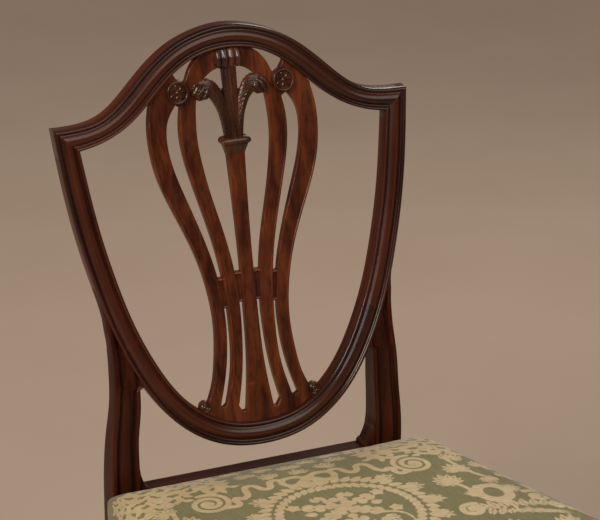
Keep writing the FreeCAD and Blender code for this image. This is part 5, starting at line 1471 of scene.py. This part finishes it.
# %% Linen for hidden places
def linen(name, dark, light, threads):
    """Plain woven cloth: two crossed sets of threads on Object coordinates."""
    material, tree = new_material(name)
    place = add_node(tree, "ShaderNodeTexCoord")
    warp, weft = [streaks(tree, place.outputs["Object"], scale, Detail=2.0)
                  for scale in ((threads, threads / 22, 1.0), (threads / 22, threads, 1.0))]
    crossed = add_node(tree, "ShaderNodeMath", {"operation": "MULTIPLY"},
                       _0=warp.outputs["Fac"], _1=weft.outputs["Fac"])
    tint = add_node(tree, "ShaderNodeValToRGB", {"stops": ((0.14, dark), (0.36, light))}, Fac=crossed.outputs[0])
    bump = add_node(tree, "ShaderNodeBump", Strength=0.4, Distance=0.0004, Height=crossed.outputs[0])
    shader = add_node(tree, "ShaderNodeBsdfPrincipled", Base_Color=tint.outputs["Color"], Roughness=0.9,
                      Normal=bump.outputs[0])
    surface(tree, shader)
    return material


# %% Dust cloth
DUST_TOP, DUST_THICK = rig.box("dust_cover")[1][2] * 1000, 0.8
BLACK_LINEN = linen("black linen, woven", "#0E0D0C", "#26241F", 800.0)


def dust_half(y):
    """Half the width of the cloth under the seat at a depth; it narrows between the rear posts."""
    return frame_half(y) - 8 if y < 145 else 150.0


dust_rings = []
for y in [*np.linspace(-243, 144.9, 60), 145.1, 152, 160, 168, 171.5]:
    half = dust_half(y) - (34.0 if y < -208 else 0.0)  # it is cut round the front legs
    front, back = [], []
    for t in np.linspace(-1, 1, 61):
        x = half * t
        sag = 2.6 * (1 - t ** 2) * math.sin(math.pi * np.clip((y + 243) / 414, 0, 1))
        pucker = 0.35 * math.sin(y / 11.0) * t ** 6
        front.append((x, y, DUST_TOP - DUST_THICK - sag - abs(pucker)))
        back.append((x, y, DUST_TOP - sag))
    dust_rings.append(front + back[::-1])
dust = rings_to_object("dust_cloth", np.asarray(dust_rings) / 1000, BLACK_LINEN)
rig.ride(dust, "root")
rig.replaces(dust, "dust_cover")
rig.slot(dust, "black_cloth")
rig.sheet(dust, flat=(0.56, 0.415), held="stretched", rests_on=["seat_tacks"], area=0.19)
print("dust cloth:", len(dust.data.polygons), "faces")

# %% [markdown]
# ## Finishes of the plain parts
# The legs, stretchers and rear rail keep their CAD shapes and get polished mahogany with the grain along each piece.
# The hidden rails and blocks are beech, as usual under a covered seat. The rest is jute and steel; the cover stands in
# for the horsehair stuffing.

# %% Grain along the other two axes
def along_axis(base, name, axis):
    """A copy of a wood whose grain runs along another axis of the object."""
    turned = base.copy()
    turned.name = name
    for node in turned.node_tree.nodes:
        if node.bl_idname == "ShaderNodeMapping":
            small, big = min(node.inputs["Scale"].default_value), max(node.inputs["Scale"].default_value)
            node.inputs["Scale"].default_value = [small if k == axis else big for k in range(3)]
    return turned


def beech():
    """Planed beech: pale pinkish brown with short darker flecks, left raw."""
    material, tree = new_material("planed beech, raw")
    place = add_node(tree, "ShaderNodeTexCoord")
    flecks = streaks(tree, place.outputs["Object"], (320.0, 14.0, 320.0), Detail=5.0)
    tint = add_node(tree, "ShaderNodeValToRGB", {"stops": ((0.38, "#8E6A48"), (0.6, "#B8926A"))},
                    Fac=flecks.outputs["Fac"])
    bump = add_node(tree, "ShaderNodeBump", Strength=0.15, Distance=0.0003, Height=flecks.outputs["Fac"])
    shader = add_node(tree, "ShaderNodeBsdfPrincipled", Base_Color=tint.outputs["Color"], Roughness=0.6,
                      Normal=bump.outputs[0])
    surface(tree, shader)
    return material


def cut_steel():
    """Steel wire drawn and headed: grey, fine scratches, a touch of rust colour."""
    material, tree = new_material("drawn steel, oxidised")
    place = add_node(tree, "ShaderNodeTexCoord")
    spots = add_node(tree, "ShaderNodeTexNoise", Vector=place.outputs["Object"], Scale=600.0, Detail=4.0)
    tint = add_node(tree, "ShaderNodeValToRGB", {"stops": ((0.4, "#5A4636"), (0.62, "#8B8A86"))},
                    Fac=spots.outputs["Fac"])
    rough = add_node(tree, "ShaderNodeMapRange", Value=spots.outputs["Fac"], From_Min=0.3, From_Max=0.7,
                     To_Min=0.55, To_Max=0.32)
    shader = add_node(tree, "ShaderNodeBsdfPrincipled", Base_Color=tint.outputs["Color"], Roughness=rough.outputs[0],
                      Metallic=1.0)
    surface(tree, shader)
    return material


# %% Every carried-over part gets its finish
# Copies of the plain wood for rails and stretchers, with its darker tone of painted shade
ACROSS_WOOD = along_axis(LEG_WOOD, "old polished mahogany, grain across", 0)
LONG_WOOD = along_axis(LEG_WOOD, "old polished mahogany, grain front to back", 1)
BEECH = beech()
STEEL = cut_steel()
JUTE = linen("jute webbing, woven", "#7A5B34", "#A58655", 420.0)
HESSIAN = linen("hessian, open woven", "#86683F", "#B19669", 520.0)
FINISHES = [
    (LEG_WOOD, "front_leg_left front_leg_right"),
    (ACROSS_WOOD, "rear_seat_rail cross_stretcher rear_stretcher"),
    (LONG_WOOD, "side_stretcher_left side_stretcher_right"),
    (BEECH, "front_seat_rail side_seat_rail_left side_seat_rail_right corner_block_front_left "
            "corner_block_front_right corner_block_rear_left corner_block_rear_right"),
    (STEEL, "corner_block_screws seat_tacks"),
    (JUTE, "webbing_front_to_back webbing_side_to_side"),
    (HESSIAN, "hessian"),
]
for finish, names in FINISHES:
    for name in names.split():
        for slot in frame["nodes"][name].material_slots:
            slot.material = finish
print("finishes:", len(FINISHES))

# %% Extents of the CAD model and of the dressed scene, written out
json.dump({"cad": CAD_BOX, "scene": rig.bounds()}, open("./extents.json", "w"), default=lambda v: list(v))
